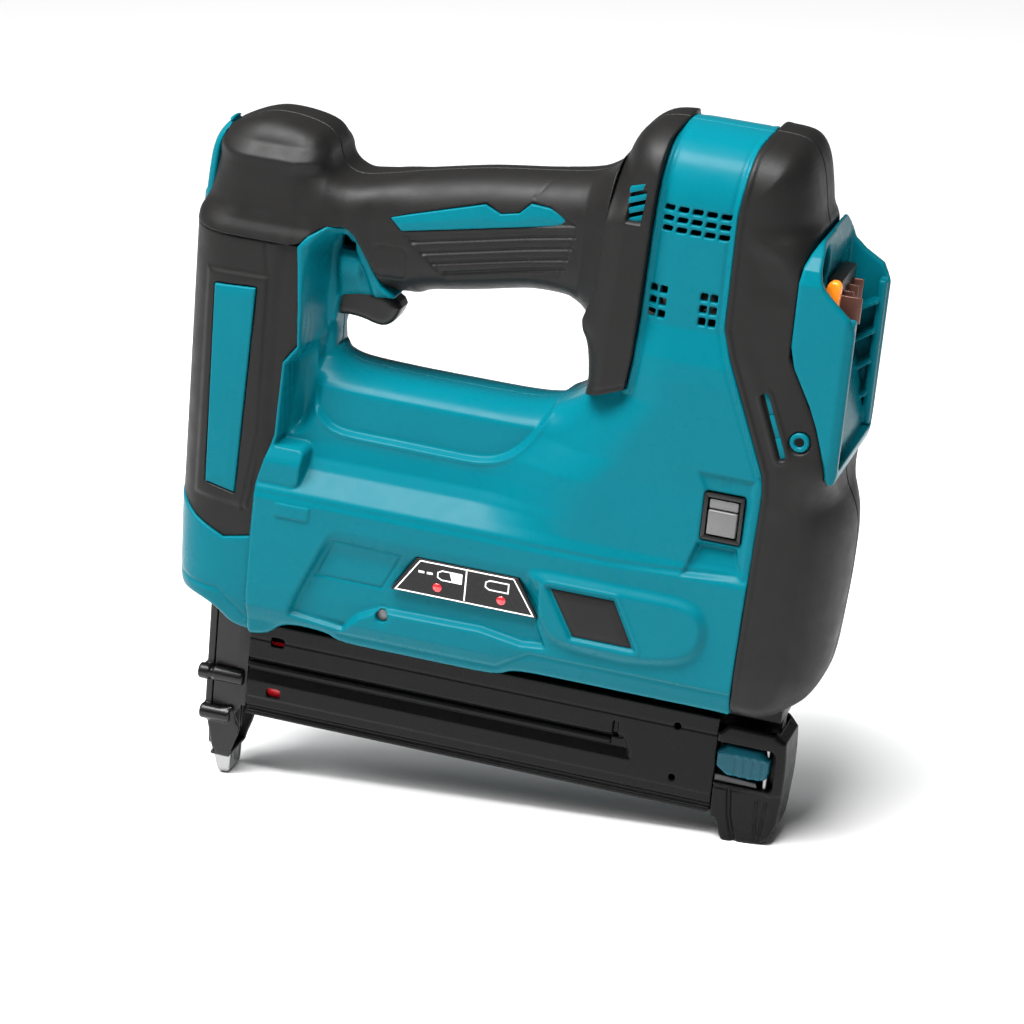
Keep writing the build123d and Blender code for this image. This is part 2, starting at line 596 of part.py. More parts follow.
def air_tube():
    """The pressed pipe from the compressor head to the top of the drive cylinder."""
    x1 = PISTON_REAR - PISTON_LENGTH - RACK_STROKE - 1.0 - 7.0
    z = GEAR_Z + 6.0
    r = 2.8
    outer = fuse(strut((x1, 0, z), (22.4, 0, z), r), strut((22.4, 0, z - 1.0), (22.4, 0, 244.0), r),
                 Solid.make_sphere(r + 0.2, Plane(origin=(22.4, 0, z)), -90, 90, 360))
    return cut(outer, strut((x1 + 1, 0, z), (22.4, 0, z), 1.8), strut((22.4, 0, z),
        (22.4, 0, 245.0), 1.8))


def drive_piston():
    z0 = PISTON_TOP - PISTON_HEIGHT
    body = rod_z(0, 0, DRIVE_BORE - 0.06, z0, PISTON_TOP)
    body = cut(body, rod_z(0, 0, 10.0, z0 + 6.0, PISTON_TOP + 1))
    for z in (z0 + 2.0, z0 + 11.0):
        body = body - (rod_z(0, 0, DRIVE_BORE + 1, z, z + 2.4) - rod_z(0, 0, DRIVE_BORE - 1.8,
            z - 1, z + 3))
    return body - box(-0.75, 0.75, -2.2, 2.2, z0 - 1, z0 + 4.0)


def piston_seals():
    z0 = PISTON_TOP - PISTON_HEIGHT
    out = []
    for z in (z0 + 2.0, z0 + 11.0):
        out.append(rod_z(0, 0, DRIVE_BORE - 0.04, z + 0.1, z + 2.3) - rod_z(0, 0, DRIVE_BORE - 1.8,
            z, z + 3))
    return out


def driver_blade():
    z0 = PISTON_TOP - PISTON_HEIGHT
    return box(-0.6, 0.6, -0.75, 0.75, BLADE_TIP_REST, z0) + box(-0.6, 0.6, -2.0, 2.0, z0 - 2.0,
        z0 + 3.8)


def bumper_ring():
    out = rod_z(0, 0, DRIVE_BORE, 118.0, 143.6) - rod_z(0, 0, 4.5, 117.0, 145.0)
    ring = rod_z(0, 0, DRIVE_BORE + 1, 127.0, 131.0) - rod_z(0, 0, 12.5, 126.0, 132.0)
    return out - ring


# ---------------------------------------------------------------- nose
def nose_body():
    """The steel nose: the drive channel, the flange and the guides of the contact arm."""
    out = box(-4.4, 4.6, -8.0, 8.0, 18.0, 114.0)
    out = out + box(-4.4, 8.8, -8.0, 8.0, 80.0, 114.0)
    out = out + box(-12.0, 9.0, -15.0, 15.0, 108.0, 114.0)
    out = out + box(4.6, 8.7, -8.0, 8.0, 31.0, 69.0)
    out = out - prism([(-4.5, 17.0), (4.7, 17.0), (4.7, 27.0)], -9, -1.6)
    out = out - prism([(-4.5, 17.0), (4.7, 17.0), (4.7, 27.0)], 1.6, 9)
    out = cut(out, box(-0.75, 9.0, -0.95, 0.95, 10.0, CHANNEL_TOP),
        box(-0.75, 0.75, -2.2, 2.2, 79.0, 115.0))
    return out


def contact_arm():
    """The plate in front of the nose, its spring yoke, its two knuckles and the cheeks down to the tip."""
    plate = prism([(-8.6, 70.0), (-8.6, 24.0), (-6.4, 20.6), (-5.7, 12.5), (-3.6, 8.95), (-2.0, 8.95),
                   (-2.0, 10.3), (-4.2, 10.3), (-4.9, 12.0), (-4.9, 88.0), (-7.4, 88.0)], -7.0, 7.0)
    upper = box(-10.2, -4.9, -8.5, 8.5, 39.6, 45.4)
    lower = box(-8.6, -4.9, -8.5, 8.5, 23.2, 28.8)
    out = fuse(plate, upper, lower, box(-3.4, 4.0, -9.6, 9.6, 8.95, 10.3))
    cheek = [(-6.4, 24.0), (-5.6, 21.5), (-2.6, 8.95), (4.0, 8.95), (4.6, 12.0), (7.0, 19.5),
             (7.2, 22.5), (5.4, 24.6)]
    for side in (-1, 1):
        y0, y1 = sorted((side * 8.3, side * 11.0))
        out = out + box(-8.6, 3.3, y0, y1, 23.2, 28.8)
        out = out + box(-10.2, 7.8, y0, y1, 39.6, 45.4)
        out = out + prism(cheek, *sorted((side * 8.3, side * 9.6)))
    out = out - box(-0.8, 1.6, -2.4, 2.4, 8.0, 12.0)
    return out + box(-11.6, -4.9, -4.0, 4.0, 86.0, 90.0)


def contact_tip():
    """The bare steel foot that touches the work."""
    side = [(-3.4, 8.85), (-1.9, 3.5), (-0.9, -0.9 * FLOOR), (2.4, 2.4 * FLOOR), (3.4, 2.2), (3.6, 8.85)]
    out = prism(side, -6.5, 6.5)
    out = out & prism_x(mirrored([(3.4, -1.0), (5.4, 1.4), (6.5, 3.6), (6.5, 10.0)]), -10, 10)
    return out - box(-0.8, 1.6, -2.4, 2.4, -1.0, 12.0)


def contact_spring():
    return spring(-8.4, 0.0, 90.4, 2.6, 0.4, 2.6, 16.0, (0, 0, 1))


def depth_dial():
    """The knurled wheel that sets the drive depth, on a stem under the nose flange."""
    x, y = DIAL
    out = rod_z(x, y, 5.0, 71.0, 79.0)
    for i in range(16):
        a = 2 * pi * i / 16
        out = out - rod_z(x + 5.3 * cos(a), y + 5.3 * sin(a), 0.7, 70.0, 80.0)
    return out + rod_z(x, y, 1.9, 79.0, 107.9)


# ---------------------------------------------------------------- magazine
def magazine_rail():
    """The fixed top of the magazine with its T shaped runner."""
    out = box(9.2, 214.0, -8.0, 8.0, 69.0, 77.0) + box(9.2, 214.0, -3.0, 3.0, 60.0, 69.5)
    out = out + box(9.2, 196.0, -5.6, 5.6, 58.5, 61.5)
    out = out + box(60.0, 110.0, -8.0, 8.0, 77.0, 84.0)
    out = out + box(9.2, 40.0, -8.0, 8.0, 77.0, 81.0)
    out = out + prism([(190.0, 77.0), (206.0, 77.0), (206.0, 84.0), (190.0, 84.0)], -7.0, 7.0)
    return cut(out, box(8.0, 200.0, -0.8, 0.8, 50.0, CHANNEL_TOP))


def magazine_cover():
    """The U shaped sliding cover that holds the brads, with its windows and ribs."""
    outer = prism_x([(-MAG_HALF, MAG_BOTTOM + 3.0), (-MAG_HALF + 1.6, MAG_BOTTOM),
        (MAG_HALF - 1.6, MAG_BOTTOM),
                     (MAG_HALF, MAG_BOTTOM + 3.0), (MAG_HALF, 67.4),
                     (-MAG_HALF, 67.4)], MAG_FRONT, MAG_REAR - 4)
    outer = outer - box(0, 300, -8.2, 8.2, MAG_BOTTOM + 2.0, 65.0)
    outer = outer - box(0, 300, -6.2, 6.2, 60.0, 70.0)
    top_trim = box(0, 300, -8.6, 8.6, 67.0, 70.0)
    outer = outer - top_trim
    for side in (-1, 1):
        y0, y1 = sorted((side * 6.2, side * 8.3))
        outer = outer + box(MAG_FRONT, MAG_REAR - 4, y0, y1, 64.4, 66.6)
        ya, yb = sorted((side * 8.8, side * 12.0))
        outer = outer - box(17.5, 23.0, ya - 4, yb + 4, 58.4, 62.6)
        outer = outer - box(17.5, 23.0, ya - 4, yb + 4, 37.6, 41.4)
        for z in (61.0, 40.2):
            outer = outer - rod_y(176.4, z, 1.3, min(ya, yb), max(ya, yb))
        rib = prism([(MAG_FRONT, 49.6), (153.0, 49.6), (153.0, 47.6),
            (MAG_FRONT, 47.6)], *sorted((side * 9.8, side * 11.2)))
        outer = outer + rib
    guide = box(MAG_FRONT, MAG_REAR - 4, -2.6, 2.6, MAG_BOTTOM + 1.5, MAG_BOTTOM + 5.5)
    guide = guide - box(0, 300, -0.8, 0.8, CHANNEL_BOTTOM, 60)
    return outer + guide


def magazine_foot():
    """The end cap of the sliding cover, with the foot it stands on."""
    side = [(192.0, 27.8), (194.5, 27.8), (196.5, 196.5 * FLOOR), (212.5, 212.5 * FLOOR),
        (216.5, 24.0), (217.6, 36.0),
            (218.2, 51.0), (217.2, 66.0), (192.0, 66.4)]
    out = prism(side, -12.0, 12.0) & prism_x(mirrored([(9.0, 15.0), (12.0, 24.0), (12.0, 70.0)]),
        190, 230)
    out = out - box(190.0, 214.4, -8.0, 8.0, 40.0, 70.0)
    out = out - box(190.8, 214.4, -14.0, -7.0, 42.6, 59.2)
    out = out - box(190.0, 214.4, -8.6, 8.6, 58.0, 70.0)
    out = out - box(191.0, 196.5, -10.0, 10.0, 30.5, 64.0)
    out = out + box(192.0, 214.6, -6.0, -4.2, 38.0, 57.0)
    return out - rod_z(211.0, -8.8, 1.0, 40.6, 60.4)


def pusher():
    """The red pusher that carries the brads to the nose."""
    out = box(15.0, 28.0, -7.6, 7.6, 34.4, 57.2) - box(14.0, 30.0, -3.4, 3.4, 52.0, 60.0)
    out = out + box(12.0, 15.2, -0.5, 0.5, 34.6, 57.0)
    out = out - rod_x(0, 45.0, 4.0, 20.0, 29.0)
    return out


def pusher_spring():
    return spring(21.0, 0.0, 45.0, 3.0, 0.45, 6.2, 160.0, (1, 0, 0))


def latch_lever():
    """The ribbed lever at the back of the magazine that frees the cover."""
    out = prism([(192.5, 58.4), (212.6, 58.0), (212.4, 47.6), (209.4, 46.0),
        (192.5, 46.4)], -12.6, -6.8)
    for i in range(4):
        x = 199.0 + 3.4 * i
        out = out - prism([(x, 60.0), (x + 1.2, 60.0), (x + 1.2, 50.0), (x, 48.0)], -13.0, -11.9)
    return cut(out, rod_z(211.0, -8.8, 1.05, 40.0, 61.0))


def latch_plate():
    """The bright spring plate under the lever."""
    return prism([(192.5, 45.6), (208.0, 45.0), (208.6, 43.0), (192.5, 43.0)], -10.6, -8.0)


def latch_pin():
    return rod_z(211.0, -8.8, 1.0, 40.6, 60.4)


# ---------------------------------------------------------------- handle parts
TRIGGER_PIVOT = (30.0, 214.0)


def trigger():
    side = [(28.0, 198.0), (28.5, 191.4), (36.1, 192.9), (41.9, 192.4), (47.8, 191.2),
        (51.5, 191.9), (54.0, 194.3),
            (56.2, 199.4), (50.0, 203.4), (44.0, 203.6), (42.0, 209.0), (34.0, 217.0),
            (28.0, 217.0), (27.2, 206.0)]
    return cut(prism(side, -5.9, 5.9), rod_y(TRIGGER_PIVOT[0], TRIGGER_PIVOT[1], 1.55, -10, 10))


def trigger_pin():
    return rod_y(TRIGGER_PIVOT[0], TRIGGER_PIVOT[1], 1.5, -10.0, 10.0)


def trigger_switch():
    out = box(44.0, 60.0, -5.4, 5.4, 214.0, 226.0)
    return out + box(46.5, 50.0, -1.6, 1.6, 211.6, 214.2)


def trigger_spring():
    return spring(38.6, 0.0, 214.6, 2.0, 0.35, 2.0, 7.0, (0, 0, 1))


def mode_button():
    out = box(182.8, 193.6, -31.6, -25.2, 146.0, 159.4)
    out = out - box(182.0, 195.0, -33.0, -30.9, 155.0, 160.0)
    return out


def button_frame():
    frame = box(180.7, 195.5, -30.9, -22.4, 143.7, 161.3)
    return cut(frame, box(182.4, 194.0, -40, -24.2, 145.6, 159.8),
        box(186.0, 190.4, -28, -20, 150.5, 155.0))


def button_switch():
    return box(185.0, 191.4, -22.3, -18.4, 149.0, 156.4) + box(186.6, 189.8, -24.3, -22.3, 151.0, 154.6)


# ---------------------------------------------------------------- battery mount
def battery_mount():
    """The tray the battery slides down into, open at the top and back."""
    out = prism(MOUNT, -MOUNT_HALF, MOUNT_HALF)
    inner = prism([(210.6, 270.0), (210.6, 217.0), (219.5, 200.0), (223.4, 181.0), (223.4, 178.0),
        (240.0, 178.0),
                   (240.0, 270.0)],
                  -27.6, 27.6)
    out = out - inner
    for side in (-1, 1):
        y0, y1 = sorted((side * RAIL_HALF_GAP, side * 28.0))
        lip = prism([(223.0, 230.0), (225.6, 228.0), (225.6, 178.0), (223.0, 178.0)], y0, y1)
        out = out + lip
    for z in (188.0, 200.0, 212.0):
        for side in (-1, 1):
            y0, y1 = sorted((side * 27.7, side * 22.5))
            out = out + (box(205.0, 219.0, y0, y1, z, z + 1.6) & inner)
    return out


def terminal_block():
    """The contact holder, and the orange peg beside it that guides the battery."""
    out = box(210.7, 216.0, -8.5, 16.0, 222.0, 240.0)
    for y in TERMINAL_Y:
        out = out - box(212.0, 218.0, y - 1.0, y + 1.0, 224.0, 238.0)
    return out + box(210.7, 218.4, -22.2, -18.2, 230.0, 243.2)


def terminals():
    return [box(212.1, 219.5, y - 0.45, y + 0.45, 224.5, 235.0) for y in TERMINAL_Y]


def bay_plate():
    """The copper coloured spring plate beside the terminals."""
    return box(210.7, 224.0, -10.9, -9.9, 226.0, 235.4)


def hook_inserts():
    out = []
    for side in (-1, 1):
        y0, y1 = sorted((side * 20.6, side * 30.8))
        nut = rod_y(HOOK_X, HOOK_Z, 3.9, y0, y1)
        h0, h1 = sorted((side * (30.8 - HOOK_HOLE_DEPTH), side * 31.0))
        out.append(nut - rod_y(HOOK_X, HOOK_Z, HOOK_HOLE_R, h0, h1))
    return out


def controller_board():
    out = box(36.0, 96.0, 22.0, 23.6, 98.0, 121.0)
    chips = ((38, 101, 12, 10, 5), (54, 101, 8, 8, 3), (66, 104, 10, 12, 6), (80, 101, 12, 8, 4))
    for x, z, w, h, t in chips:
        out = out + box(x, x + w, 22.0 - t, 22.1, z, z + h)
    for x in (40.0, 92.0):
        out = out + rod_y(x, 117.0, 2.2, 23.0, 31.4)
    return out


def battery_lights():
    return [rod_y(x, 105.6, 1.7, -33.6, -30.0) for x in (86.9, 111.2)]


def indicator_board():
    return box(80.0, 118.0, -29.9, -28.4, 100.0, 112.0)


def main():
    nodes = {}
    parts = shell_details(shells())
    screws, bosses, holes = screw_sets()
    for name in ("housing", "grip_head", "column_cover", "rear_bumper", "front_guard", "nose_cover"):
        solid = parts[name]
        for i, screw in enumerate(SCREWS):
            if screw[4] == name:
                solid = solid + bosses[i][0] + bosses[i][1]
                solid = solid - holes[i][0] - holes[i][1]
        parts[name] = solid
    blockers = internal_solids()
    parts["housing"] = cut(parts["housing"], *blockers["housing_cuts"])
    for name in ("housing", "grip_head", "column_cover", "rear_bumper"):
        nodes[name + "_left"] = left(parts[name])
        nodes[name + "_right"] = right(parts[name])
    nodes["front_guard"] = parts["front_guard"]
    nodes["nose_cover"] = parts["nose_cover"]
    nodes.update(blockers["nodes"])
    nodes["housing_screws"] = screws
    export(nodes)


def internal_solids():
    nodes = {
        "battery_mount": battery_mount(),
        "terminal_block": terminal_block(),
        "terminals": terminals(),
        "bay_plate": bay_plate(),
        "hook_inserts": hook_inserts(),
        "head_spine": prism(SPINE, -8.9, 8.9) - box(-40, 0, -2.0, 2.0, 228, 270),
        "name_plates": [prism(NAME_PLATE, -28.6, -26.6), prism(NAME_PLATE, 26.6, 28.6)],
        "grip_inlays": [prism(INLAY, -18.4, -16.65), prism(INLAY, 16.65, 18.4)],
        "side_pads": [prism(PAD, -36.0, -33.05), prism(PAD, 33.05, 36.0)],
        "indicator_label": cut(prism(LABEL, -34.2, -33.05),
            *[rod_y(x, 105.6, 1.75, -60, 0) for x in (86.9, 111.2)]),
        "indicator_lights": battery_lights(),
        "circuit_boards": [indicator_board(), controller_board()],
        "mode_button": mode_button(),
        "button_frame": button_frame(),
        "trigger": trigger(),
        "trigger_pin": trigger_pin(),
        "switches": [trigger_switch(), button_switch()],
        "trigger_spring": trigger_spring(),
        "drive_cylinder": drive_cylinder(),
        "cylinder_head": cylinder_head(),
        "air_tube": air_tube(),
        "drive_piston": drive_piston(),
        "piston_seals": piston_seals(),
        "driver_blade": driver_blade(),
        "drive_bumper": bumper_ring(),
        "nose_body": nose_body(),
        "contact_arm": contact_arm(),
        "contact_tip": contact_tip(),
        "contact_spring": contact_spring(),
        "depth_dial": depth_dial(),
        "magazine_rail": magazine_rail(),
        "magazine_cover": magazine_cover(),
        "magazine_foot": magazine_foot(),
        "pusher": pusher(),
        "pusher_spring": pusher_spring(),
        "latch_lever": latch_lever(),
        "latch_plate": latch_plate(),
        "latch_pin": latch_pin(),
        "motor_can": motor_can(),
        "rotor": rotor(),
        "motor_pinion": pinion(),
        "motor_fan": fan(),
        "idler_gear": idler(),
        "last_gear": last_gear(),
        "drive_shaft": drive_shaft(),
        "piston_rack": piston_rack(),
        "compressor_piston": compressor_piston(),
        "compressor_cylinder": compressor_cylinder(),
        "gear_frame": gear_frame(),
    }
    return {"nodes": nodes, "housing_cuts": [box(70, 120, -40, -20, 98, 114) & prism(LABEL, -33.2,
        -28.0)]}


def to_row(solid):
    """Tilts the tool so that its nose tip and magazine foot stand on the floor."""
    return solid.rotate(Axis.Y, STAND)


def export(nodes):
    placed = {}
    for name, item in nodes.items():
        solids = item if isinstance(item, list) else [item]
        placed[name] = Compound([to_row(s) for thing in solids for s in thing.solids()])
    whole = Compound(list(placed.values())).bounding_box()
    shift = Vector(-(whole.min.X + whole.max.X) / 2, -(whole.min.Y + whole.max.Y) / 2, -whole.min.Z)
    for name, item in placed.items():
        item = item.translate(shift)
        count = len(item.solids())
        print(name, count, "solids", round(sum(s.volume for s in item.solids()) / 1000, 2), "cm3")
        export_step(item, "parts/" + name + ".step")
    print("shift", shift, "stand", STAND)


if __name__ == "__main__":
    main()
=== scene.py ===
import bpy
import bmesh
import json
import math
import numpy as np
import openvdb
from mathutils import Matrix, Vector

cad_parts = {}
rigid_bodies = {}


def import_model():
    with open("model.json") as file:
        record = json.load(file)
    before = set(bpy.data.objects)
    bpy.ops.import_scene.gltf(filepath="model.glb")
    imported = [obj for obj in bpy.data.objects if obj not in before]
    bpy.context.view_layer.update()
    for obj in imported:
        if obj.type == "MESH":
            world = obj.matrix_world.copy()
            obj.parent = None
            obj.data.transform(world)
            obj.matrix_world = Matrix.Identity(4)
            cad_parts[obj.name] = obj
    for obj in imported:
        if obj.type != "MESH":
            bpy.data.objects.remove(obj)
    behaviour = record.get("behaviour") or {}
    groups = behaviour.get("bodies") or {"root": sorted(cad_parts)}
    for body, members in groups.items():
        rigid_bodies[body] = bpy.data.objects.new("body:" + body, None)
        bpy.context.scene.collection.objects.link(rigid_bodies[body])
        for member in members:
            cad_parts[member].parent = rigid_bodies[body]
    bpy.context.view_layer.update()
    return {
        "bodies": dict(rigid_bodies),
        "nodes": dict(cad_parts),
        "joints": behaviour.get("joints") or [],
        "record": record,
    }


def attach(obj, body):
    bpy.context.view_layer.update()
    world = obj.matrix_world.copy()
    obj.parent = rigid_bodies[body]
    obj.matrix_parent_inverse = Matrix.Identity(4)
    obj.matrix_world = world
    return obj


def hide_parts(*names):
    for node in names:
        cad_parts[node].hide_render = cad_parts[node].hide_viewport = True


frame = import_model()
nodes = frame["nodes"]

# Tool frame in mm: z up the drive line, x back along the magazine, y to the right hand side.
LEAN = math.atan2(20.0, 208.0)
SHIFT_X = -118.033
TO_ROW = (Matrix.Translation((SHIFT_X / 1000, 0, 0)) @ Matrix.Rotation(LEAN, 4, "Y")
          @ Matrix.Scale(0.001, 4))
COARSE = 1
STEP = 0.5 * COARSE
SHARP_ANGLE = math.radians(32)


# ---------------------------------------------------------------- materials
def put(node, values):
    for socket, value in values.items():
        node.inputs[socket].default_value = value


def noise_node(tree, coord, scale, detail):
    node = tree.nodes.new("ShaderNodeTexNoise")
    put(node, {"Scale": scale, "Detail": detail, "Roughness": 0.55})
    tree.links.new(coord, node.inputs["Vector"])
    return node


def finish(name, color, rough, metal=0.0, tint=0.06, grain=None, brushed=None, coat=0.0, spec=0.5, glow=0.0):
    """A moulded, ground or painted finish: uneven colour, uneven gloss and a fine surface grain."""
    m = bpy.data.materials.new(name)
    m.use_nodes = True
    t = m.node_tree
    p = t.nodes["Principled BSDF"]
    coord = t.nodes.new("ShaderNodeTexCoord").outputs["Object"]
    put(p, {"Metallic": metal, "Specular IOR Level": spec, "Coat Weight": coat, "Coat Roughness": 0.08})
    patch = noise_node(t, coord, 35.0, 4.0)
    mix = t.nodes.new("ShaderNodeMix")
    mix.data_type = "RGBA"
    put(mix, {"A": [c * (1 - tint) for c in color] + [1], "B": [min(c * (1 + tint), 1) for c in color] + [1]})
    t.links.new(patch.outputs["Fac"], mix.inputs["Factor"])
    t.links.new(mix.outputs["Result"], p.inputs["Base Color"])
    uneven = noise_node(t, coord, 160.0, 5.0)
    span = t.nodes.new("ShaderNodeMapRange")
    put(span, {"From Min": 0.3, "From Max": 0.7, "To Min": max(rough - 0.05, 0.02), "To Max": rough + 0.05})
    t.links.new(uneven.outputs["Fac"], span.inputs["Value"])
    t.links.new(span.outputs["Result"], p.inputs["Roughness"])
    # glow sets an emission: the indicator lenses are lamps, while on the red pusher it is a painted glow that
    # the plastic doesn't give off
    if glow:
        put(p, {"Emission Color": list(color) + [1], "Emission Strength": glow})
    if grain or brushed:
        bump = t.nodes.new("ShaderNodeBump")
        if brushed:
            mapping = t.nodes.new("ShaderNodeMapping")
            put(mapping, {"Scale": brushed})
            t.links.new(coord, mapping.inputs["Vector"])
            fine, strength = noise_node(t, mapping.outputs["Vector"], 1.0, 2.0), 0.12
        else:
            fine, strength = noise_node(t, coord, grain[0], 2.0), grain[1]
        put(bump, {"Distance": 0.0002, "Strength": strength})
        t.links.new(fine.outputs["Fac"], bump.inputs["Height"])
        t.links.new(bump.outputs["Normal"], p.inputs["Normal"])
    return m


FINISHES = (
    ("body_plastic", (0.0006, 0.098, 0.128), 0.29, dict(grain=(2600, 0.05), spec=0.055)),
    ("grip_rubber", (0.0070, 0.0066, 0.0064), 0.48, dict(grain=(3400, 0.30), spec=0.16)),
    ("dark_plastic", (0.0075, 0.007, 0.0068), 0.34, dict(grain=(3000, 0.14), spec=0.25)),
    ("mag_plastic", (0.0040, 0.0038, 0.0037), 0.30, dict(grain=(3200, 0.12), spec=0.10)),
    ("latch_plastic", (0.002, 0.062, 0.088), 0.30, dict(grain=(2600, 0.1), spec=0.16)),
    ("button_grey", (0.085, 0.085, 0.085), 0.30, dict(grain=(2600, 0.08))),
    ("orange_plastic", (0.95, 0.26, 0.012), 0.32, dict(grain=(2600, 0.06))),
    ("label_film", (0.008, 0.0077, 0.0077), 0.26, dict(grain=(900, 0.04), spec=0.16)),
    ("red_lens", (0.75, 0.012, 0.02), 0.14, dict(coat=0.6, glow=0.25)),
    # the glow on the pusher's red plastic is painted light: the part is no lamp
    ("red_plastic", (0.55, 0.01, 0.018), 0.34, dict(grain=(2400, 0.08), glow=0.15)),
    ("white_ink", (0.80, 0.80, 0.79), 0.4, dict(tint=0.02)),
    ("steel", (0.22, 0.22, 0.225), 0.32, dict(metal=1.0, brushed=(300, 4000, 300))),
    ("dark_steel", (0.0050, 0.0049, 0.0048), 0.30, dict(metal=0.1, grain=(2000, 0.12), spec=0.26)),
    ("plate_steel", (0.060, 0.060, 0.061), 0.48, dict(metal=1.0, brushed=(3500, 300, 300))),
    ("bright_steel", (0.25, 0.25, 0.252), 0.22, dict(metal=1.0, brushed=(3500, 300, 300))),
    ("copper_alloy", (0.11, 0.046, 0.034), 0.34, dict(metal=0.45, brushed=(300, 300, 3000))),
    ("aluminium", (0.60, 0.61, 0.62), 0.42, dict(metal=1.0, grain=(1800, 0.12))),
    ("seal_rubber", (0.012, 0.012, 0.012), 0.5, dict(grain=(3000, 0.1))),
    ("board", (0.01, 0.09, 0.035), 0.35, dict(grain=(900, 0.1))),
)
MATS = {row[0]: finish(*row[:3], **row[3]) for row in FINISHES}


# ---------------------------------------------------------------- fields
def grid(x0, x1, z0, z1, step):
    return np.meshgrid(np.arange(x0, x1 + step, step), np.arange(z0, z1 + step, step), indexing="ij")


def segment(X, Z, a, b):
    """Squared distance to the segment from a to b."""
    ex, ez = b[0] - a[0], b[1] - a[1]
    t = np.clip(((X - a[0]) * ex + (Z - a[1]) * ez) / (ex * ex + ez * ez + 1e-12), 0, 1)
    return (X - a[0] - t * ex) ** 2 + (Z - a[1] - t * ez) ** 2


def line(points, X, Z):
    """Distance to an open line."""
    best = np.full(X.shape, 1e9)
    for a, b in zip(points, points[1:]):
        best = np.minimum(best, segment(X, Z, a, b))
    return np.sqrt(best)


def poly(points, X, Z):
    """Signed distance to a closed outline, negative inside."""
    odd = np.zeros(X.shape, bool)
    for a, b in zip(points, points[1:] + points[:1]):
        if a[1] != b[1]:
            odd ^= ((a[1] > Z) != (b[1] > Z)) & (X < (b[0] - a[0]) * (Z - a[1]) / (b[1] - a[1]) + a[0])
    d = line(points + points[:1], X, Z)
    return np.where(odd, -d, d)


def soften(points, times=1):
    """Rounds the corners of an outline by cutting them."""
    for _ in range(times):
        out = []
        for (ax, az), (bx, bz) in zip(points, points[1:] + points[:1]):
            k = min(0.25, 4.0 / (math.hypot(bx - ax, bz - az) + 1e-9))
            out += [(ax + (bx - ax) * k, az + (bz - az) * k), (bx - (bx - ax) * k, bz - (bz - az) * k)]
        points = out
    return points


def rect(X, Z, x0, x1, z0, z1, r=0.0, lean=0.0):
    cx, cz = (x0 + x1) / 2, (z0 + z1) / 2
    u, v = X - cx - lean * (Z - cz), Z - cz
    dx, dz = np.abs(u) - (x1 - x0) / 2 + r, np.abs(v) - (z1 - z0) / 2 + r
    return np.hypot(np.maximum(dx, 0), np.maximum(dz, 0)) + np.minimum(np.maximum(dx, dz), 0) - r


def deep(field):
    """A map over X and Z, ready to be mixed with the y samples."""
    return field[:, None, :]


def across(half, step):
    """The y samples from one side to the other, and their size."""
    y = np.arange(-half, half + step, step)[None, :, None]
    return y, np.abs(y)


def ramp(a, lo, hi):
    t = np.clip((a - lo) / (hi - lo), 0, 1)
    return t * t * (3 - 2 * t)


def fade(a, lo, hi):
    return 1 - ramp(a, lo, hi)


def smax(a, b, r):
    """The larger of two fields, rounded over r where they meet."""
    return np.maximum(a, b) + np.maximum(r - np.abs(a - b), 0) ** 2 / (4 * r)


def smin(a, b, r):
    return -smax(-a, -b, r)


def shifted(h, n, axis):
    """The map moved by every whole number of steps from -n to n."""
    wide = np.pad(h, [(n, n) if a == axis else (0, 0) for a in (0, 1)], mode="edge")
    return [np.take(wide, range(i, i + h.shape[axis]), axis=axis) for i in range(2 * n + 1)]


def blur(h, sigma):
    """Softens a height map. sigma is in mm."""
    n = max(int(3 * sigma / STEP), 1)
    k = np.exp(-0.5 * (np.arange(-n, n + 1) * STEP / sigma) ** 2)
    k /= k.sum()
    for axis in (0, 1):
        h = sum(weight * part for weight, part in zip(k, shifted(h, n, axis)))
    return h


def lowest(h, reach):
    """The lowest height within reach, so that steep walls keep their thickness."""
    for axis in (0, 1):
        h = np.min(shifted(h, int(round(reach / STEP)), axis), axis=0)
    return h


def recess(h, d, depth, wall=0.7):
    """Sinks the region where d is negative by depth, with a sloped wall; a negative depth raises it."""
    return h - depth * fade(d, -wall, 0.0)


def groove(h, d, depth, half):
    """A round bottomed channel where d is under half; a negative depth makes a bead."""
    return h - depth * np.clip(1 - (d / half) ** 2, 0, 1)


# ---------------------------------------------------------------- meshing
def linked(name, data):
    obj = bpy.data.objects.new(name, data)
    bpy.context.scene.collection.objects.link(obj)
    return obj


def shaded(me):
    """Smooth shading, with the sharper edges kept."""
    for p in me.polygons:
        p.use_smooth = True
    me.set_sharp_from_angle(angle=SHARP_ANGLE)


def from_bmesh(bm, name, shade=True):
    me = bpy.data.meshes.new(name)
    bm.to_mesh(me)
    bm.free()
    if shade:
        shaded(me)
    return linked(name, me)


def to_object(name, points, quads):
    me = bpy.data.meshes.new(name)
    me.vertices.add(len(points))
    me.vertices.foreach_set("co", points.astype(np.float32).ravel())
    me.loops.add(len(quads) * 4)
    me.loops.foreach_set("vertex_index", np.asarray(quads).ravel().astype(np.int32))
    me.polygons.add(len(quads))
    me.polygons.foreach_set("loop_start", (np.arange(len(quads)) * 4).astype(np.int32))
    me.polygons.foreach_set("use_smooth", np.ones(len(quads), bool))
    me.update(calc_edges=True)
    me.validate()
    return linked(name, me)


def place(obj, mat, body, *stands_for, slot=None):
    obj.data.transform(TO_ROW)
    return placed(obj, mat, body, *stands_for, slot=slot)


def placed(obj, mat, body, *stands_for, slot=None):
    obj.data.materials.clear()
    obj.data.materials.append(MATS[mat])
    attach(obj, body)
    if stands_for:
        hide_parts(*stands_for)
    return obj


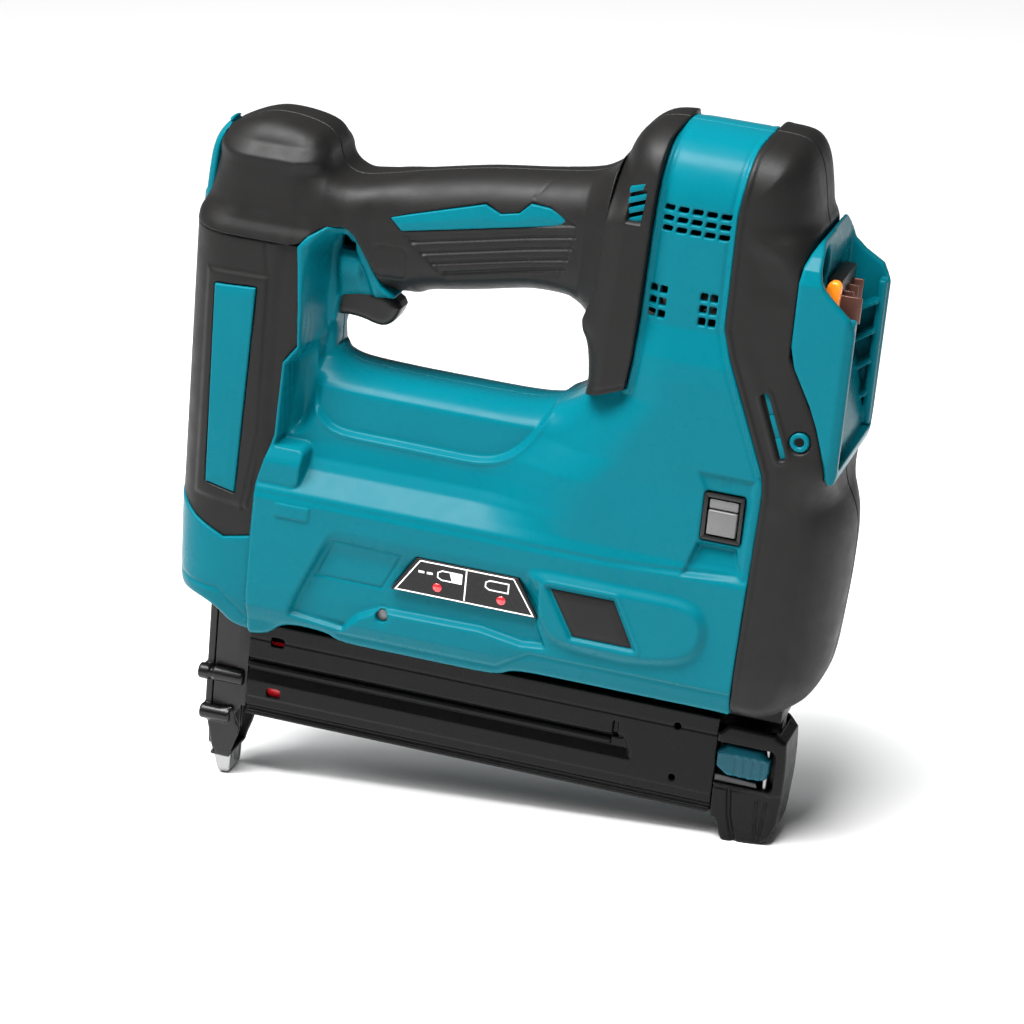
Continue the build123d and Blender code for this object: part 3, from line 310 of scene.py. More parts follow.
def mesh_field(name, f, x0, y0, z0, step, flip=1):
    """Turns a sampled field into a mesh at its zero surface."""
    band = 3.0 * step
    g = openvdb.FloatGrid(band)
    g.copyFromArray(np.clip(f, -band, band).astype(np.float32))
    pts, quads = g.convertToQuads(isovalue=0.0)
    pts = pts * step + np.array([x0, y0, z0])
    pts[:, 1] *= flip
    if flip > 0:
        quads = quads[:, ::-1]
    return to_object(name, pts, quads)


OUTER = [
    (-18, 81), (-7, 80), (0, 77), (7, 70), (21, 70), (28, 77.5), (44, 77.5), (50, 74), (111, 74), (118, 78),
    (198.5, 78), (205, 76), (219, 77), (226.5, 88), (229, 100), (231.3, 129), (231.5, 148), (229.5, 156),
    (224.5, 165), (223.5, 176), (221, 185), (217, 196), (209, 214), (207, 222), (207, 247), (207.8, 256.5),
    (206.0, 261), (205.0, 268), (202.8, 278.6), (198.8, 284.8), (193, 287), (149, 287), (142, 284.6),
    (137.2, 279), (134.5, 271), (130, 265), (122.5, 261.2), (106, 258.7), (83, 255.6), (60, 250.6),
    (47, 247.2), (38, 245.2), (34, 245.2), (30.0, 246.8), (27.6, 250.4), (26.2, 256.0), (21.6, 260.8),
    (9.9, 263.2), (-1.6, 262.8), (-9, 261.4), (-15.4, 258.2), (-20.2, 252.2), (-21.9, 246), (-23, 230),
    (-23, 222), (-21.5, 119), (-20.5, 90),
]
LOOP = [
    (56, 205), (62, 204.5), (66, 207), (80.2, 209.2), (103.5, 214.6), (117.4, 215.5), (120.9, 214),
    (127, 211.5), (131, 206), (133, 187), (123, 178), (113, 174.5), (102, 173.5), (62, 173.5), (40, 174.5),
    (35, 178), (33, 186), (33, 201), (40, 203), (48, 204),
]


def free_edge(X, Z):
    """Distance to the silhouette of the whole tool, negative inside."""
    return smax(poly(soften(OUTER, 2), X, Z), -poly(soften(LOOP, 2), X, Z), 0.5)


def shell(name, side, outline, height, rounding, wall=2.4, lip=0.7, cuts=None, sink=None):
    """Half of a moulded cover: its outline, its height map and the rounding of its outer edges."""
    xs, zs = [p[0] for p in outline], [p[1] for p in outline]
    margin, tall = 2.5, 38.5
    x0, z0 = min(xs) - margin, min(zs) - margin
    X, Z = grid(x0, max(xs) + margin, z0, max(zs) + margin, STEP)
    d = poly(outline, X, Z)
    free = free_edge(X, Z)
    h = height(X, Z, side)
    if sink is not None:
        free = free + sink(X, Z)
    r = rounding(X, Z) if callable(rounding) else rounding
    if not np.isscalar(r):
        r = deep(r)
    y0 = -1.0
    y = np.arange(y0, tall, STEP)[None, :, None]
    f = smax(np.broadcast_to(deep(free), (X.shape[0], y.shape[1], X.shape[1])), y - deep(h), r)
    inner = smax(np.broadcast_to(deep(free), f.shape) + wall, y - (deep(lowest(h, wall)) - wall), r)
    inner = np.maximum(inner, deep(d) + wall)
    f = smax(f, deep(d), lip)
    f = np.maximum(f, -inner)
    f = smax(f, 0.06 - y, 0.5)
    if cuts is not None:
        for d2, low in cuts(X, Z):
            reach = y - low if low > 0 else -low - y
            f = np.maximum(f, np.minimum(-deep(d2), reach))
    return mesh_field(name, f, x0, y0, z0, STEP, side)


def refine(node, mat, body, width, slot=None):
    """A finer copy of a CAD node, its edges broken and its shading smoothed."""
    src = nodes[node]
    me = src.data.copy()
    me.transform(src.matrix_world)
    obj = linked("fine_" + node, me)
    bm = bmesh.new()
    bm.from_mesh(me)
    bmesh.ops.remove_doubles(bm, verts=bm.verts, dist=2e-6)
    bmesh.ops.dissolve_limit(bm, angle_limit=math.radians(1.0), verts=bm.verts, edges=bm.edges)
    bmesh.ops.recalc_face_normals(bm, faces=bm.faces)
    edges = [e for e in bm.edges if len(e.link_faces) == 2 and e.calc_face_angle(0) > math.radians(28)]
    if edges and width:
        bmesh.ops.bevel(bm, geom=edges, offset=width / 1000, segments=2, profile=0.5, affect="EDGES",
                        clamp_overlap=True, harden_normals=False)
    bm.to_mesh(me)
    bm.free()
    shaded(me)
    return placed(obj, mat, body, node, slot=slot)


def slab(parts, name, bevel=0.3, segments=2, mirror=False):
    """Extruded outlines in one mesh. Each part is (points in XZ, y0, y1)."""
    bm = bmesh.new()
    for points, a, b in parts:
        for sign in ((1, -1) if mirror else (1,)):
            low, high = [[bm.verts.new((x, sign * y, z)) for x, z in points] for y in (a, b)]
            bm.faces.new(low)
            bm.faces.new(high[::-1])
            for i in range(len(points)):
                bm.faces.new((low[i - 1], low[i], high[i], high[i - 1]))
    bmesh.ops.recalc_face_normals(bm, faces=bm.faces)
    edges = [e for e in bm.edges if e.calc_face_angle(0) > math.radians(20)]
    if bevel:
        bmesh.ops.bevel(bm, geom=edges, offset=bevel, segments=segments, profile=0.5, affect="EDGES",
                        clamp_overlap=True)
    return from_bmesh(bm, name)


def plate(name, points, top, thick, side, dome=0.25, edge=0.8):
    """A thin cover piece that lies on the side: top is a height (number or map)."""
    xs, zs = [p[0] for p in points], [p[1] for p in points]
    step = STEP * 0.5
    x0, z0 = min(xs) - 1.5, min(zs) - 1.5
    X, Z = grid(x0, max(xs) + 1.5, z0, max(zs) + 1.5, step)
    d = poly(points, X, Z)
    h = top(X, Z) if callable(top) else np.full(X.shape, float(top))
    h = h + dome * ramp(-d, 0, 4.0)
    y0 = float(h.min()) - thick - 1.0
    y = np.arange(y0, float(h.max()) + 1.5, step)[None, :, None]
    f = smax(deep(d), y - deep(h), edge)
    f = np.maximum(f, deep(h - thick) - y)
    return mesh_field(name, f, x0, y0, z0, step, side)


# ---------------------------------------------------------------- outlines of the covers
GUARD = [
    (-23, 222), (22, 222), (25, 185), (20, 178), (19, 150), (14, 131), (13.5, 109), (2, 106.5), (-10, 112),
    (-21.5, 119),
]
NOSE_COVER = [
    (-23.5, 119), (-21.5, 119), (-10, 112), (2, 106.5), (13.5, 109), (13.5, 70), (7, 70), (0, 77), (-7, 80),
    (-18, 81), (-22.5, 90),
]
HEAD_GRIP = [
    (-25, 222), (-22, 251), (-16, 262), (-9, 266), (-1.6, 268), (9.9, 268.6), (24, 266), (29, 259.4),
    (31, 255), (38, 250), (47, 252), (83, 260), (106, 262.7), (130, 269), (136, 274), (134.5, 271),
    (133, 228), (131, 215), (131, 204), (120, 210), (103, 210), (80, 205), (66, 203.5), (62, 204.5),
    (56, 205), (51, 209), (44, 222), (39, 230), (31, 230), (25, 226), (22, 222),
]
COLUMN_COVER = [
    (133, 187), (129, 190), (129, 215), (133, 228), (134.5, 271), (136, 283), (141, 291), (148, 296),
    (158, 296), (156, 291), (152.5, 283), (151, 262), (149, 205), (147.5, 193),
]
HOUSING = [
    (13.5, 68), (13.5, 109), (14, 131), (19, 150), (20, 178), (25, 185), (24, 201), (22, 222), (25, 226),
    (31, 230), (39, 230), (44, 222), (51, 209), (56, 205), (62, 204.5), (66, 203.5), (64, 201), (34, 201),
    (33, 180), (60, 176), (123, 180), (133, 187), (147.5, 193), (149, 205), (151, 262), (152.5, 283),
    (156, 291), (158, 296), (189, 296), (187, 291), (183, 284), (181, 262), (181, 222), (184, 212),
    (200.5, 172), (201.5, 165), (198.5, 76), (118, 76), (111, 72), (50, 72), (44, 75.5), (28, 75.5),
    (21, 68),
]
BUMPER = [
    (198.5, 76), (201.5, 165), (200.5, 172), (184, 212), (181, 222), (181, 262), (183, 284), (187, 291),
    (189, 296), (196, 296), (204, 291), (208, 281), (208, 266), (209, 260), (205, 247), (205, 216),
    (216, 196), (221, 181), (222.5, 172), (227, 168), (232, 158), (234, 148), (234, 129), (232, 100),
    (229, 86), (220, 75), (205, 74),
]
SPINE = [
    (-30, 225.6), (-30, 258), (-20, 262), (-15.0, 261.6), (-13.0, 257.6), (-14.6, 253.0), (-15.8, 248.4),
    (-16.4, 240), (-17.2, 225.6),
]
PAD = [(129.1, 115.4), (153.4, 115.4), (162.2, 98.2), (139.2, 98.2)]
LABEL = [(77.8, 115.7), (117.2, 115.7), (126, 101.4), (68.9, 101.4)]
NAME_PLATE = [(-8, 203), (7.6, 204), (5, 124.5), (-6.5, 127)]
INLAY = [
    (52.8, 236.2), (87.3, 247), (93.2, 244.5), (100, 246), (104, 250.2), (111.1, 249.8), (122, 245.6),
    (57.3, 231.8),
]
RIBBED = [(57.4, 231), (122.2, 245), (117.2, 225.5), (74.5, 216.1)]
PANEL = [(45.8, 115.5), (72.4, 114.8), (65.5, 100.3), (39.6, 100.4)]
BLOCK = [
    (29, 164), (33, 158), (39.5, 152.8), (96, 152.3), (106, 156.3), (114, 165.5), (120, 179), (120, 192),
    (29, 192),
]
BULGE = [
    (118, 121), (178, 121), (186, 118), (189, 110), (187, 101), (180, 95), (160, 91.5), (133, 93),
    (126, 99),
]
FIELD = [
    (30, 83), (33, 92), (46, 122), (126, 122), (126, 99), (130, 90.5), (120, 89.5), (104, 92.0), (66, 91.4),
    (58, 87), (52, 80),
]
SCOOP = [
    (20.5, 149), (27, 149), (31.5, 156), (33.5, 170), (34.5, 205), (26, 205), (26.5, 184), (21.5, 177.5),
]
BAY = [
    (25.6, 184), (24.6, 221.6), (30.5, 226.8), (34, 228.0), (38.4, 227.4), (41.8, 221), (49.2, 206.5),
    (50, 198), (36, 196), (33, 184),
]


# ---------------------------------------------------------------- height maps, |y| in mm
def housing_height(X, Z, side):
    low = np.interp(Z, [66, 72, 77, 80.5, 84, 92, 100, 124, 128.5, 131, 138.5, 142.5, 148, 152, 168, 176],
                    [27, 28.6, 29.8, 31.6, 33.2, 33.7, 33.6, 33.4, 33.6, 32.4, 25.0, 22.6, 21.4, 21.0, 19.2,
                     18.4])
    column = np.interp(Z, [70, 77, 82, 88, 128.5, 134, 160, 200, 207, 219, 262, 300],
                       [27, 29.6, 31.2, 33.6, 33.6, 31.9, 30.9, 30.9, 30.6, 28.4, 28.4, 28.4])
    start = np.interp(Z, [128, 140, 156, 166, 178, 190], [96, 94, 98, 108, 113, 120])
    t = ramp(X, start, start + 42)
    h = low * (1 - t) + column * t
    h = h - 3.0 * fade(poly(FIELD, X, Z), -1.8, 0.3) * fade(Z, 108, 121)
    # the block under the hand loop, set in below a thin bright ledge
    b = poly(soften(BLOCK, 2), X, Z)
    inset = np.interp(Z, [150, 153, 168, 170, 173, 177], [19.0, 18.6, 17.8, 16.6, 14.0, 10.0])
    h = h * ramp(b, -0.9, 0.6) + np.minimum(h, inset) * fade(b, -0.9, 0.6)
    h = h + 0.5 * np.exp(-((b - 0.9) / 0.8) ** 2) * (Z < 176)
    # the trigger bay and the scoop behind the guard
    upper = np.interp(X, [19, 24, 30, 36, 44, 54, 68], [28.2, 27.6, 22.5, 18.6, 16.6, 15.2, 13.6])
    t = ramp(Z, 186, 200) * fade(X, 66, 74)
    h = h * (1 - t) + upper * t
    s = poly(soften(SCOOP, 2), X, Z)
    h = h * ramp(s, -5.0, 0.5) + np.minimum(h, 14.5) * fade(s, -5.0, 0.5)
    edge = line([(14, 131), (19, 150), (20, 178), (25, 185), (24, 201), (22, 222), (31, 230), (39, 230),
                 (44, 222), (51, 209), (56, 205)], X, Z)
    rim = np.interp(Z, [130, 150, 205, 232], [30, 28.8, 28.3, 26.6])
    h = h + np.maximum(rim - h, 0) * fade(edge, 1.2, 2.8) * fade(X, 25, 33)
    h = h + 0.9 * fade(edge, 0.6, 2.6) * ramp(X, 29, 33)
    bay = poly(soften(BAY, 2), X, Z)
    sunk = np.interp(X, [24, 28, 32.6, 35, 42, 52], [15.0, 10.5, 10.2, 12.2, 12.8, 13.6])
    sunk = sunk + 2.6 * fade(Z, 216.6, 219.4) * ramp(X, 32, 34) * fade(X, 41, 44) * ramp(Z, 203, 214)
    wall = ramp(bay, np.interp(X, [26, 31, 34], [-6.5, -4.5, -2.6]), -0.2)
    h = h * wall + np.minimum(h, sunk) * (1 - wall)
    # the block at the front of the body
    k = rect(X, Z, 13, 31.5, 131.8, 147.0, 3.0, 0.06)
    h = np.where(k < 1.2, np.maximum(h, (31.6 - 3.0 * ramp(Z, 140, 148)) * fade(k, -0.8, 1.2) + 14 *
                                     ramp(k, -0.8, 1.2)), h)
    # room for the gear frame on the right
    if side > 0:
        f = poly([(146.5, 233), (146.5, 160), (146, 109), (204, 109), (208, 150), (204, 184), (187, 233)],
                 X, Z)
        h = h + np.maximum(30.4 - h, 0) * fade(f, 0.5, 9.0)
    # the bulge round the pad, the pad's seat, and the lower rim
    g = poly(soften(BULGE, 3), X, Z)
    h = h + 2.2 * fade(g, -3.6, 0.6)
    h = groove(h, np.abs(line([(14, 128.6), (118, 128.6), (150, 128.8), (176, 130.5), (199, 131.5)], X, Z)),
               0.6, 1.3)
    h = groove(h, line([(13.6, 70), (13.6, 109), (14, 131)], X, Z), 1.5, 0.9)
    h = blur(h, 0.35)
    rim = line([(50, 78.5), (111, 78.5), (118, 83.5), (124, 87.0), (199, 87.0)], X, Z)
    h = groove(h, rim, 0.5, 1.2)
    h = recess(h, poly(PAD, X, Z) - 1.0, 1.2, 0.8)
    h = groove(h, np.abs(poly(PAD, X, Z) - 2.1), -0.35, 1.0)
    h = groove(h, np.abs(poly(PANEL, X, Z)), 0.5, 0.7)
    h = recess(h, rect(X, Z, 22.8, 36.6, 120.8, 126.6, 0.8, 0.02), -0.7, 0.8)
    if side < 0:
        h = recess(h, poly(LABEL, X, Z) - 0.25, 0.7, 0.6)
        pocket = [(176.5, 169), (199, 169), (198, 131), (175, 128.5), (180, 143), (180, 162)]
        h = recess(h, poly(pocket, X, Z), 1.1, 2.2)
        lower = poly([(180, 142.6), (194.8, 142.6), (197.5, 130.5), (175.5, 128.5)], X, Z)
        h = h - 2.4 * fade(lower, -2.0, 0.4) * ramp(Z, 129, 143)
        h = recess(h, rect(X, Z, 180.4, 195.8, 143.2, 161.8, 1.2), 3.7, 0.8)
        h = groove(h, np.abs(rect(X, Z, 187.0, 189.8, 164.2, 167.8, 0.4)), 0.25, 0.5)
        h = groove(h, np.abs(np.hypot(X - 66.8, Z - 89.9) - 3.2), 0.35, 0.7)
    else:
        for x, z in ((30.0, 94.0), (186.0, 92.0)):
            h = recess(h, np.hypot(X - x, Z - z) - 3.5, 1.5, 0.5)
    # the strip's raised double lip on the column
    for path in ([(147.5, 193), (149, 205), (151, 262), (152.5, 283), (156, 292)],
                 [(200.5, 172), (184, 212), (181, 222), (181, 262), (183, 284), (188, 292)]):
        e = line(path, X, Z)
        h = h + 0.75 * fade(np.abs(e - 0.9), 0.3, 1.1) - 0.35 * np.exp(-((e - 2.6) / 0.7) ** 2)
    return h


def housing_round(X, Z):
    r = np.full(X.shape, 3.0)
    r += 25.0 * ramp(Z, 236, 252) + 6.0 * (ramp(Z, 160, 170) * fade(Z, 186, 196) * fade(X, 124, 140))
    r += 5.0 * ramp(X, 128, 133) * ramp(Z, 182, 190) * fade(Z, 230, 240)
    return r


def housing_cuts(X, Z):
    """Both groups of vents, the opening over the trigger and the hole for the lower screw."""
    holes = np.full(X.shape, 1e9)
    for i in range(5):
        for k in range(3):
            x, z = 154.3 + 5.1 * i, 252.6 + 3.7 * k
            holes = np.minimum(holes, rect(X, Z, x, x + 3.7, z, z + 2.1, 0.4, 0.25))
    for x in (152.3, 155.9, 170.6, 174.2):
        for z in (220.9, 225.4, 229.9):
            holes = np.minimum(holes, rect(X, Z, x, x + 2.7, z, z + 3.0, 0.4, 0.05))
    return [(holes, 20.0), (rect(X, Z, 33.2, 40.8, 219.6, 224.6, 0.5), 8.0),
            (np.hypot(X - 66.8, Z - 89.9) - 2.4, 28.2)]


def round_front(h, X, Z):
    """Rounds the front of the column in plan."""
    front = np.interp(Z, [80, 90, 119, 222, 233, 250, 264], [-20.4, -20.6, -21.6, -23.1, -22.0, -21.2, -19.0])
    t = np.clip((X - front) / 21.0, 0, 1)
    k = 2.3 - 0.55 * ramp(Z, 224, 232)
    return h * (1 - (1 - t) ** k) ** (1 / k)


def head_height(X, Z, side):
    h = np.interp(X, [-25, 18, 28, 36, 46, 60, 104, 124, 136],
                  [27.6, 27.8, 26.0, 21.8, 18.6, 17.8, 17.8, 20.0, 28.0])
    neck = np.interp(Z, [200, 222.5, 225, 228, 233, 238, 251.5, 255.5, 264],
                     [0, 0, 0.8, 2.4, 3.6, 3.9, 4.0, 8.4, 11.0])
    h = h - neck * fade(X, 24, 44)
    under = np.interp(X, [44, 60, 104, 130], [207, 205, 213, 211])
    h = h - 3.5 * fade(Z, under, under + 11) * ramp(X, 40, 56) * fade(X, 118, 130)
    h = blur(h, 0.5)
    # the round front, and the crease of the head over the column
    h = round_front(h - 0.5 * fade(X, 20, 26), X, Z)
    h = groove(h, line([(10, 205), (9.4, 221)], X, Z), 0.5, 0.9)
    # the grip's inlay seat and its ribs
    h = recess(h, poly(RIBBED, X, Z), 0.5, 0.8)
    for a, b in (((61.5, 228.4), (121.5, 241.6)), ((65.8, 225.0), (120.6, 237.2)),
                 ((70.0, 221.8), (119.6, 232.9)), ((74.0, 218.6), (118.4, 228.8))):
        h = groove(h, line([a, b], X, Z), 0.7, 0.9)
    h = recess(h, poly(INLAY, X, Z) - 0.3, 0.9, 0.6)
    h = groove(h, np.abs(rect(X, Z, 47.5, 60.5, 213.5, 225.5, 3.0)), 0.3, 0.7)
    return groove(h, line([(112.0, 262), (104.5, 252)], X, Z), 0.3, 0.7)


def head_cuts(X, Z):
    """The slot for the strip. A negative depth cuts the middle, here |y| under 10.8."""
    return [(poly(soften(SPINE), X, Z) - 0.3, -10.8)]


def head_round(X, Z):
    r = 18.0 - 5.0 * ramp(X, 18, 32) + 4.0 * ramp(X, 48, 62) - 9.0 * ramp(Z, 246, 255) * fade(X, 20, 32)
    return r - 14.0 * fade(Z, 224, 246) * fade(X, 6, 20)


def guard_height(X, Z, side):
    h = np.interp(Z, [100, 112, 130, 222], [28.4, 28.6, 28.0, 27.2])
    h = round_front(blur(h + 0 * X, 1.0), X, Z)
    frame = poly([(-11.5, 207.5), (11.5, 208), (12.5, 150), (10, 120), (-10.5, 122)], X, Z)
    h = h - 0.9 * ramp(frame, -1.0, 1.6)
    h = h - 1.3 * ramp(X, 12.5, 17.0) * ramp(Z, 140, 155)
    h = groove(h, line([(9.4, 222), (12, 206), (12.4, 150), (8.5, 119)], X, Z), 0.5, 1.0)
    return recess(h, poly(NAME_PLATE, X, Z) - 0.6, 1.6, 0.7)


def nose_height(X, Z, side):
    h = np.interp(Z, [68, 76, 84, 92, 120], [24.5, 26.5, 28.2, 28.6, 28.9])
    h = round_front(blur(h + 0 * X, 1.2), X, Z)
    return groove(h, line([(-23, 93), (-16, 87), (1, 85.6), (12, 76)], X, Z), 0.5, 1.0)


def cover_height(X, Z, side):
    h = np.interp(Z, [180, 190, 215, 300], [30.6, 31.2, 31.0, 31.0]) + 0 * X
    left_edge = np.interp(Z, [180, 228, 271, 300], [131, 133, 134.5, 138])
    h = h - 2.2 * fade(X, left_edge, left_edge + 8)
    h = recess(h, rect(X, Z, 141.6, 148.0, 253.6, 266.2, 0.8, 0.05), 1.4, 0.8)
    return groove(h, line([(129, 187.6), (147, 194.5)], X, Z), 0.3, 0.9)


def cover_cuts(X, Z):
    return [(rect(X, Z, 142.5, 147.2, 254.4, 262.8, 0.6, 0.08), 22.0)]


def bumper_height(X, Z, side):
    h = np.interp(Z, [74, 82, 94, 160, 176, 200, 262, 300], [27, 31.5, 33.4, 33.6, 32.2, 31.4, 31.0, 31.0])
    back = np.interp(X, [196, 205, 214, 222, 228, 231, 234], [0.0, 0.6, 2.6, 6.2, 11.5, 16.0, 22.0])
    h = h - back * fade(Z, 158, 176)
    h = h - 2.0 * ramp(Z, 176, 190) * ramp(X, 202, 216)
    facet = poly([(186, 252), (208, 252), (204, 236), (189, 236)], X, Z)
    h = h - 0.9 * fade(facet, -4.0, 2.0)
    fold = line([(190, 213), (203, 186), (207, 168), (207, 160)], X, Z)
    h = h + 0.5 * np.exp(-(fold / 2.2) ** 2)
    h = blur(h, 1.6)
    slot = line([(198.2, 200.6), (206.6, 180.0)], X, Z) - 1.5
    h = recess(h, slot, 1.6, 0.5)
    h = groove(h, np.abs(slot - 0.9), -0.4, 0.9)
    ring = np.hypot(X - 212, Z - 185.8)
    h = recess(h, ring - 4.2, 1.0, 0.5)
    edge = line([(198.5, 78), (201.5, 165), (200.5, 172), (184, 212), (181, 222), (181, 262), (183, 284),
                 (188, 292)], X, Z)
    return h + 0.5 * fade(np.abs(edge - 1.2), 0.4, 1.4)


def bumper_round(X, Z):
    return (4.0 + 20.0 * ramp(Z, 242, 262) + 14.0 * ramp(X, 208, 220) * fade(Z, 160, 180)
            + 4.0 * fade(Z, 78, 96))


# ---------------------------------------------------------------- covers
SIDES = ((-1, "left"), (1, "right"))
for side, word in SIDES:
    place(shell("housing_shell_" + word, side, HOUSING, housing_height, housing_round, lip=0.8,
                cuts=housing_cuts, sink=lambda X, Z: 0.7 * ramp(Z, 262, 274)),
          "body_plastic", "tool", "housing_" + word)
    place(shell("head_shell_" + word, side, soften(HEAD_GRIP), head_height, head_round, lip=0.5,
                cuts=head_cuts, sink=lambda X, Z: 2.0 * ramp(Z, 225, 233) * fade(X, -12, 4)),
          "grip_rubber", "tool", "grip_head_" + word)
    place(shell("column_shell_" + word, side, COLUMN_COVER, cover_height,
                lambda X, Z: 8.0 + 18.0 * ramp(Z, 242, 262), cuts=cover_cuts, lip=0.9),
          "grip_rubber", "tool", "column_cover_" + word)
    place(shell("bumper_shell_" + word, side, BUMPER, bumper_height, bumper_round, lip=0.9, wall=3.0),
          "grip_rubber", "tool", "rear_bumper_" + word)


def joined(objs, name):
    """Several objects as one piece."""
    bm = bmesh.new()
    for obj in objs:
        bm.from_mesh(obj.data)
    bm.to_mesh(objs[0].data)
    bm.free()
    objs[0].name = name
    for obj in objs[1:]:
        bpy.data.objects.remove(obj)
    return objs[0]


def nose_cuts(X, Z):
    """The way through for the driver, behind the nose casting."""
    return [(rect(X, Z, -3.5, 4.5, 70, 86, 0.5), -5.0)]


guard = [shell("guard_" + word, side, GUARD, guard_height, 3.0, lip=0.5) for side, word in SIDES]
place(joined(guard, "front_guard_shell"), "grip_rubber", "tool", "front_guard")
nose = [shell("nose_" + word, side, NOSE_COVER, nose_height, 3.0, lip=0.8, cuts=nose_cuts)
        for side, word in SIDES]
place(joined(nose, "nose_cover_shell"), "body_plastic", "tool", "nose_cover")


def both_sides(name, points, top, thick, mat, node, **more):
    faces = [plate(name + "_" + word, points, top, thick, side, **more) for side, word in SIDES]
    return place(joined(faces, name), mat, "tool", node)


def inset(points, k):
    """The outline moved inward by about k."""
    cx = sum(p[0] for p in points) / len(points)
    cz = sum(p[1] for p in points) / len(points)
    out = []
    for x, z in points:
        d = math.hypot(x - cx, z - cz)
        out.append((x + (cx - x) * k / d * 1.3, z + (cz - z) * k / d * 1.3))
    return out


both_sides("name_plate_faces", NAME_PLATE, 28.0, 1.6, "body_plastic", "name_plates")
both_sides("grip_inlay_faces", INLAY, lambda X, Z: 18.1 + 0 * X, 1.6, "body_plastic", "grip_inlays", edge=0.6)
both_sides("side_pad_faces", inset(PAD, -0.2), 34.9, 2.6, "grip_rubber", "side_pads", edge=1.4, dome=0.4)

# label film with its frame, divider and battery outlines
film = plate("label_face", inset(LABEL, 0.3), 32.75, 1.2, -1, dome=0.0, edge=0.3)
place(film, "label_film", "tool", "indicator_label")


def ink(paths, width, y, name):
    """Printed strokes: flat strips 0.05 mm proud of the film."""
    bm = bmesh.new()
    for path in paths:
        n = len(path)
        area = sum(path[i][0] * path[(i + 1) % n][1] - path[(i + 1) % n][0] * path[i][1] for i in range(n))
        spin = 1 if area > 0 else -1
        rings = []
        for i in range(n):
            (ax, az), (bx, bz), (cx, cz) = path[i - 1], path[i], path[(i + 1) % n]
            u, v = Vector((bx - ax, bz - az)).normalized(), Vector((cx - bx, cz - bz)).normalized()
            na, nb = Vector((-u.y, u.x)) * spin, Vector((-v.y, v.x)) * spin
            m = (na + nb).normalized()
            k = width / max(m.dot(na), 0.35)
            rings.append([bm.verts.new((bx + m.x * t * k, y + dy, bz + m.y * t * k))
                          for t, dy in ((0, 0.1), (0, 0), (1, 0), (1, 0.1))])
        for i in range(n):
            a, b = rings[i], rings[(i + 1) % n]
            for k in range(3):
                bm.faces.new((a[k], b[k], b[k + 1], a[k + 1]))
    bmesh.ops.recalc_face_normals(bm, faces=bm.faces)
    return from_bmesh(bm, name, shade=False)


def battery_sign(x, z, w, h):
    a = 0.42 * h
    return [(x, z), (x + w, z), (x + w, z + h), (x, z + h), (x - a, z + h * 0.75), (x - a, z + h * 0.25)]


strokes = [inset(LABEL, 1.5)[::-1], battery_sign(88.2, 108.7, 7.8, 4.0), battery_sign(106.4, 108.7, 7.4, 4.0)]
place(ink(strokes, 0.45, -32.80, "label_print"), "white_ink", "tool")
bars = [[(97.2, 102.8), (97.7, 102.8), (97.7, 114.3), (97.2, 114.3)],
        [(92.2, 109.3), (95.4, 109.3), (95.4, 112.1), (91.2, 112.1)],
        [(79.4, 110.2), (81.6, 110.2), (81.6, 111.0), (79.4, 111.0)],
        [(82.6, 110.2), (84.8, 110.2), (84.8, 111.0), (82.6, 111.0)]]
place(slab([(p, -32.82, -32.6) for p in bars], "label_marks", bevel=0), "white_ink", "tool")


def lathe(name, profile, x, z, mirror=False):
    """A shape turned about y. profile is (radius, y) pairs."""
    count = 48
    turns = [(math.cos(2 * math.pi * i / count), math.sin(2 * math.pi * i / count)) for i in range(count)]
    bm = bmesh.new()
    for sign in ((1, -1) if mirror else (1,)):
        rings = [[bm.verts.new((x + r * u, sign * y, z + r * v)) for u, v in turns] for r, y in profile]
        for a, b in zip(rings, rings[1:]):
            for i in range(count):
                bm.faces.new((a[i], a[(i + 1) % count], b[(i + 1) % count], b[i]))
        bm.faces.new(rings[0])
        bm.faces.new(rings[-1])
    bmesh.ops.recalc_face_normals(bm, faces=bm.faces)
    return from_bmesh(bm, name)


lights = [lathe("light", [(1.7, -30.0), (1.7, -32.7), (1.35, -33.1), (0.7, -33.3), (0.05, -33.35)], x, 105.6)
          for x in (86.9, 111.2)]
place(joined(lights, "indicator_lenses"), "red_lens", "tool", "indicator_lights")

# mode button, its frame
cap = slab([([(182.9, 146.1), (193.5, 146.1), (193.5, 155.3), (182.9, 155.3)], -31.4, -25.2),
            ([(182.9, 155.7), (193.5, 155.7), (193.5, 159.3), (182.9, 159.3)], -30.7, -25.2)],
           "button_cap", 0.5, 3)
place(cap, "button_grey", "button", "mode_button")
ring_in = [(182.3, 145.5), (194.1, 145.5), (194.1, 159.9), (182.3, 159.9)]
ring_out = [(180.8, 143.8), (195.4, 143.8), (195.4, 161.2), (180.8, 161.2)]
frame_parts = []
for i in range(4):
    k = (i + 1) % 4
    frame_parts.append(([ring_out[i], ring_out[k], ring_in[k], ring_in[i]], -31.0, -22.6))
place(slab(frame_parts, "button_bezel", 0.25, 2), "dark_plastic", "tool", "button_frame")


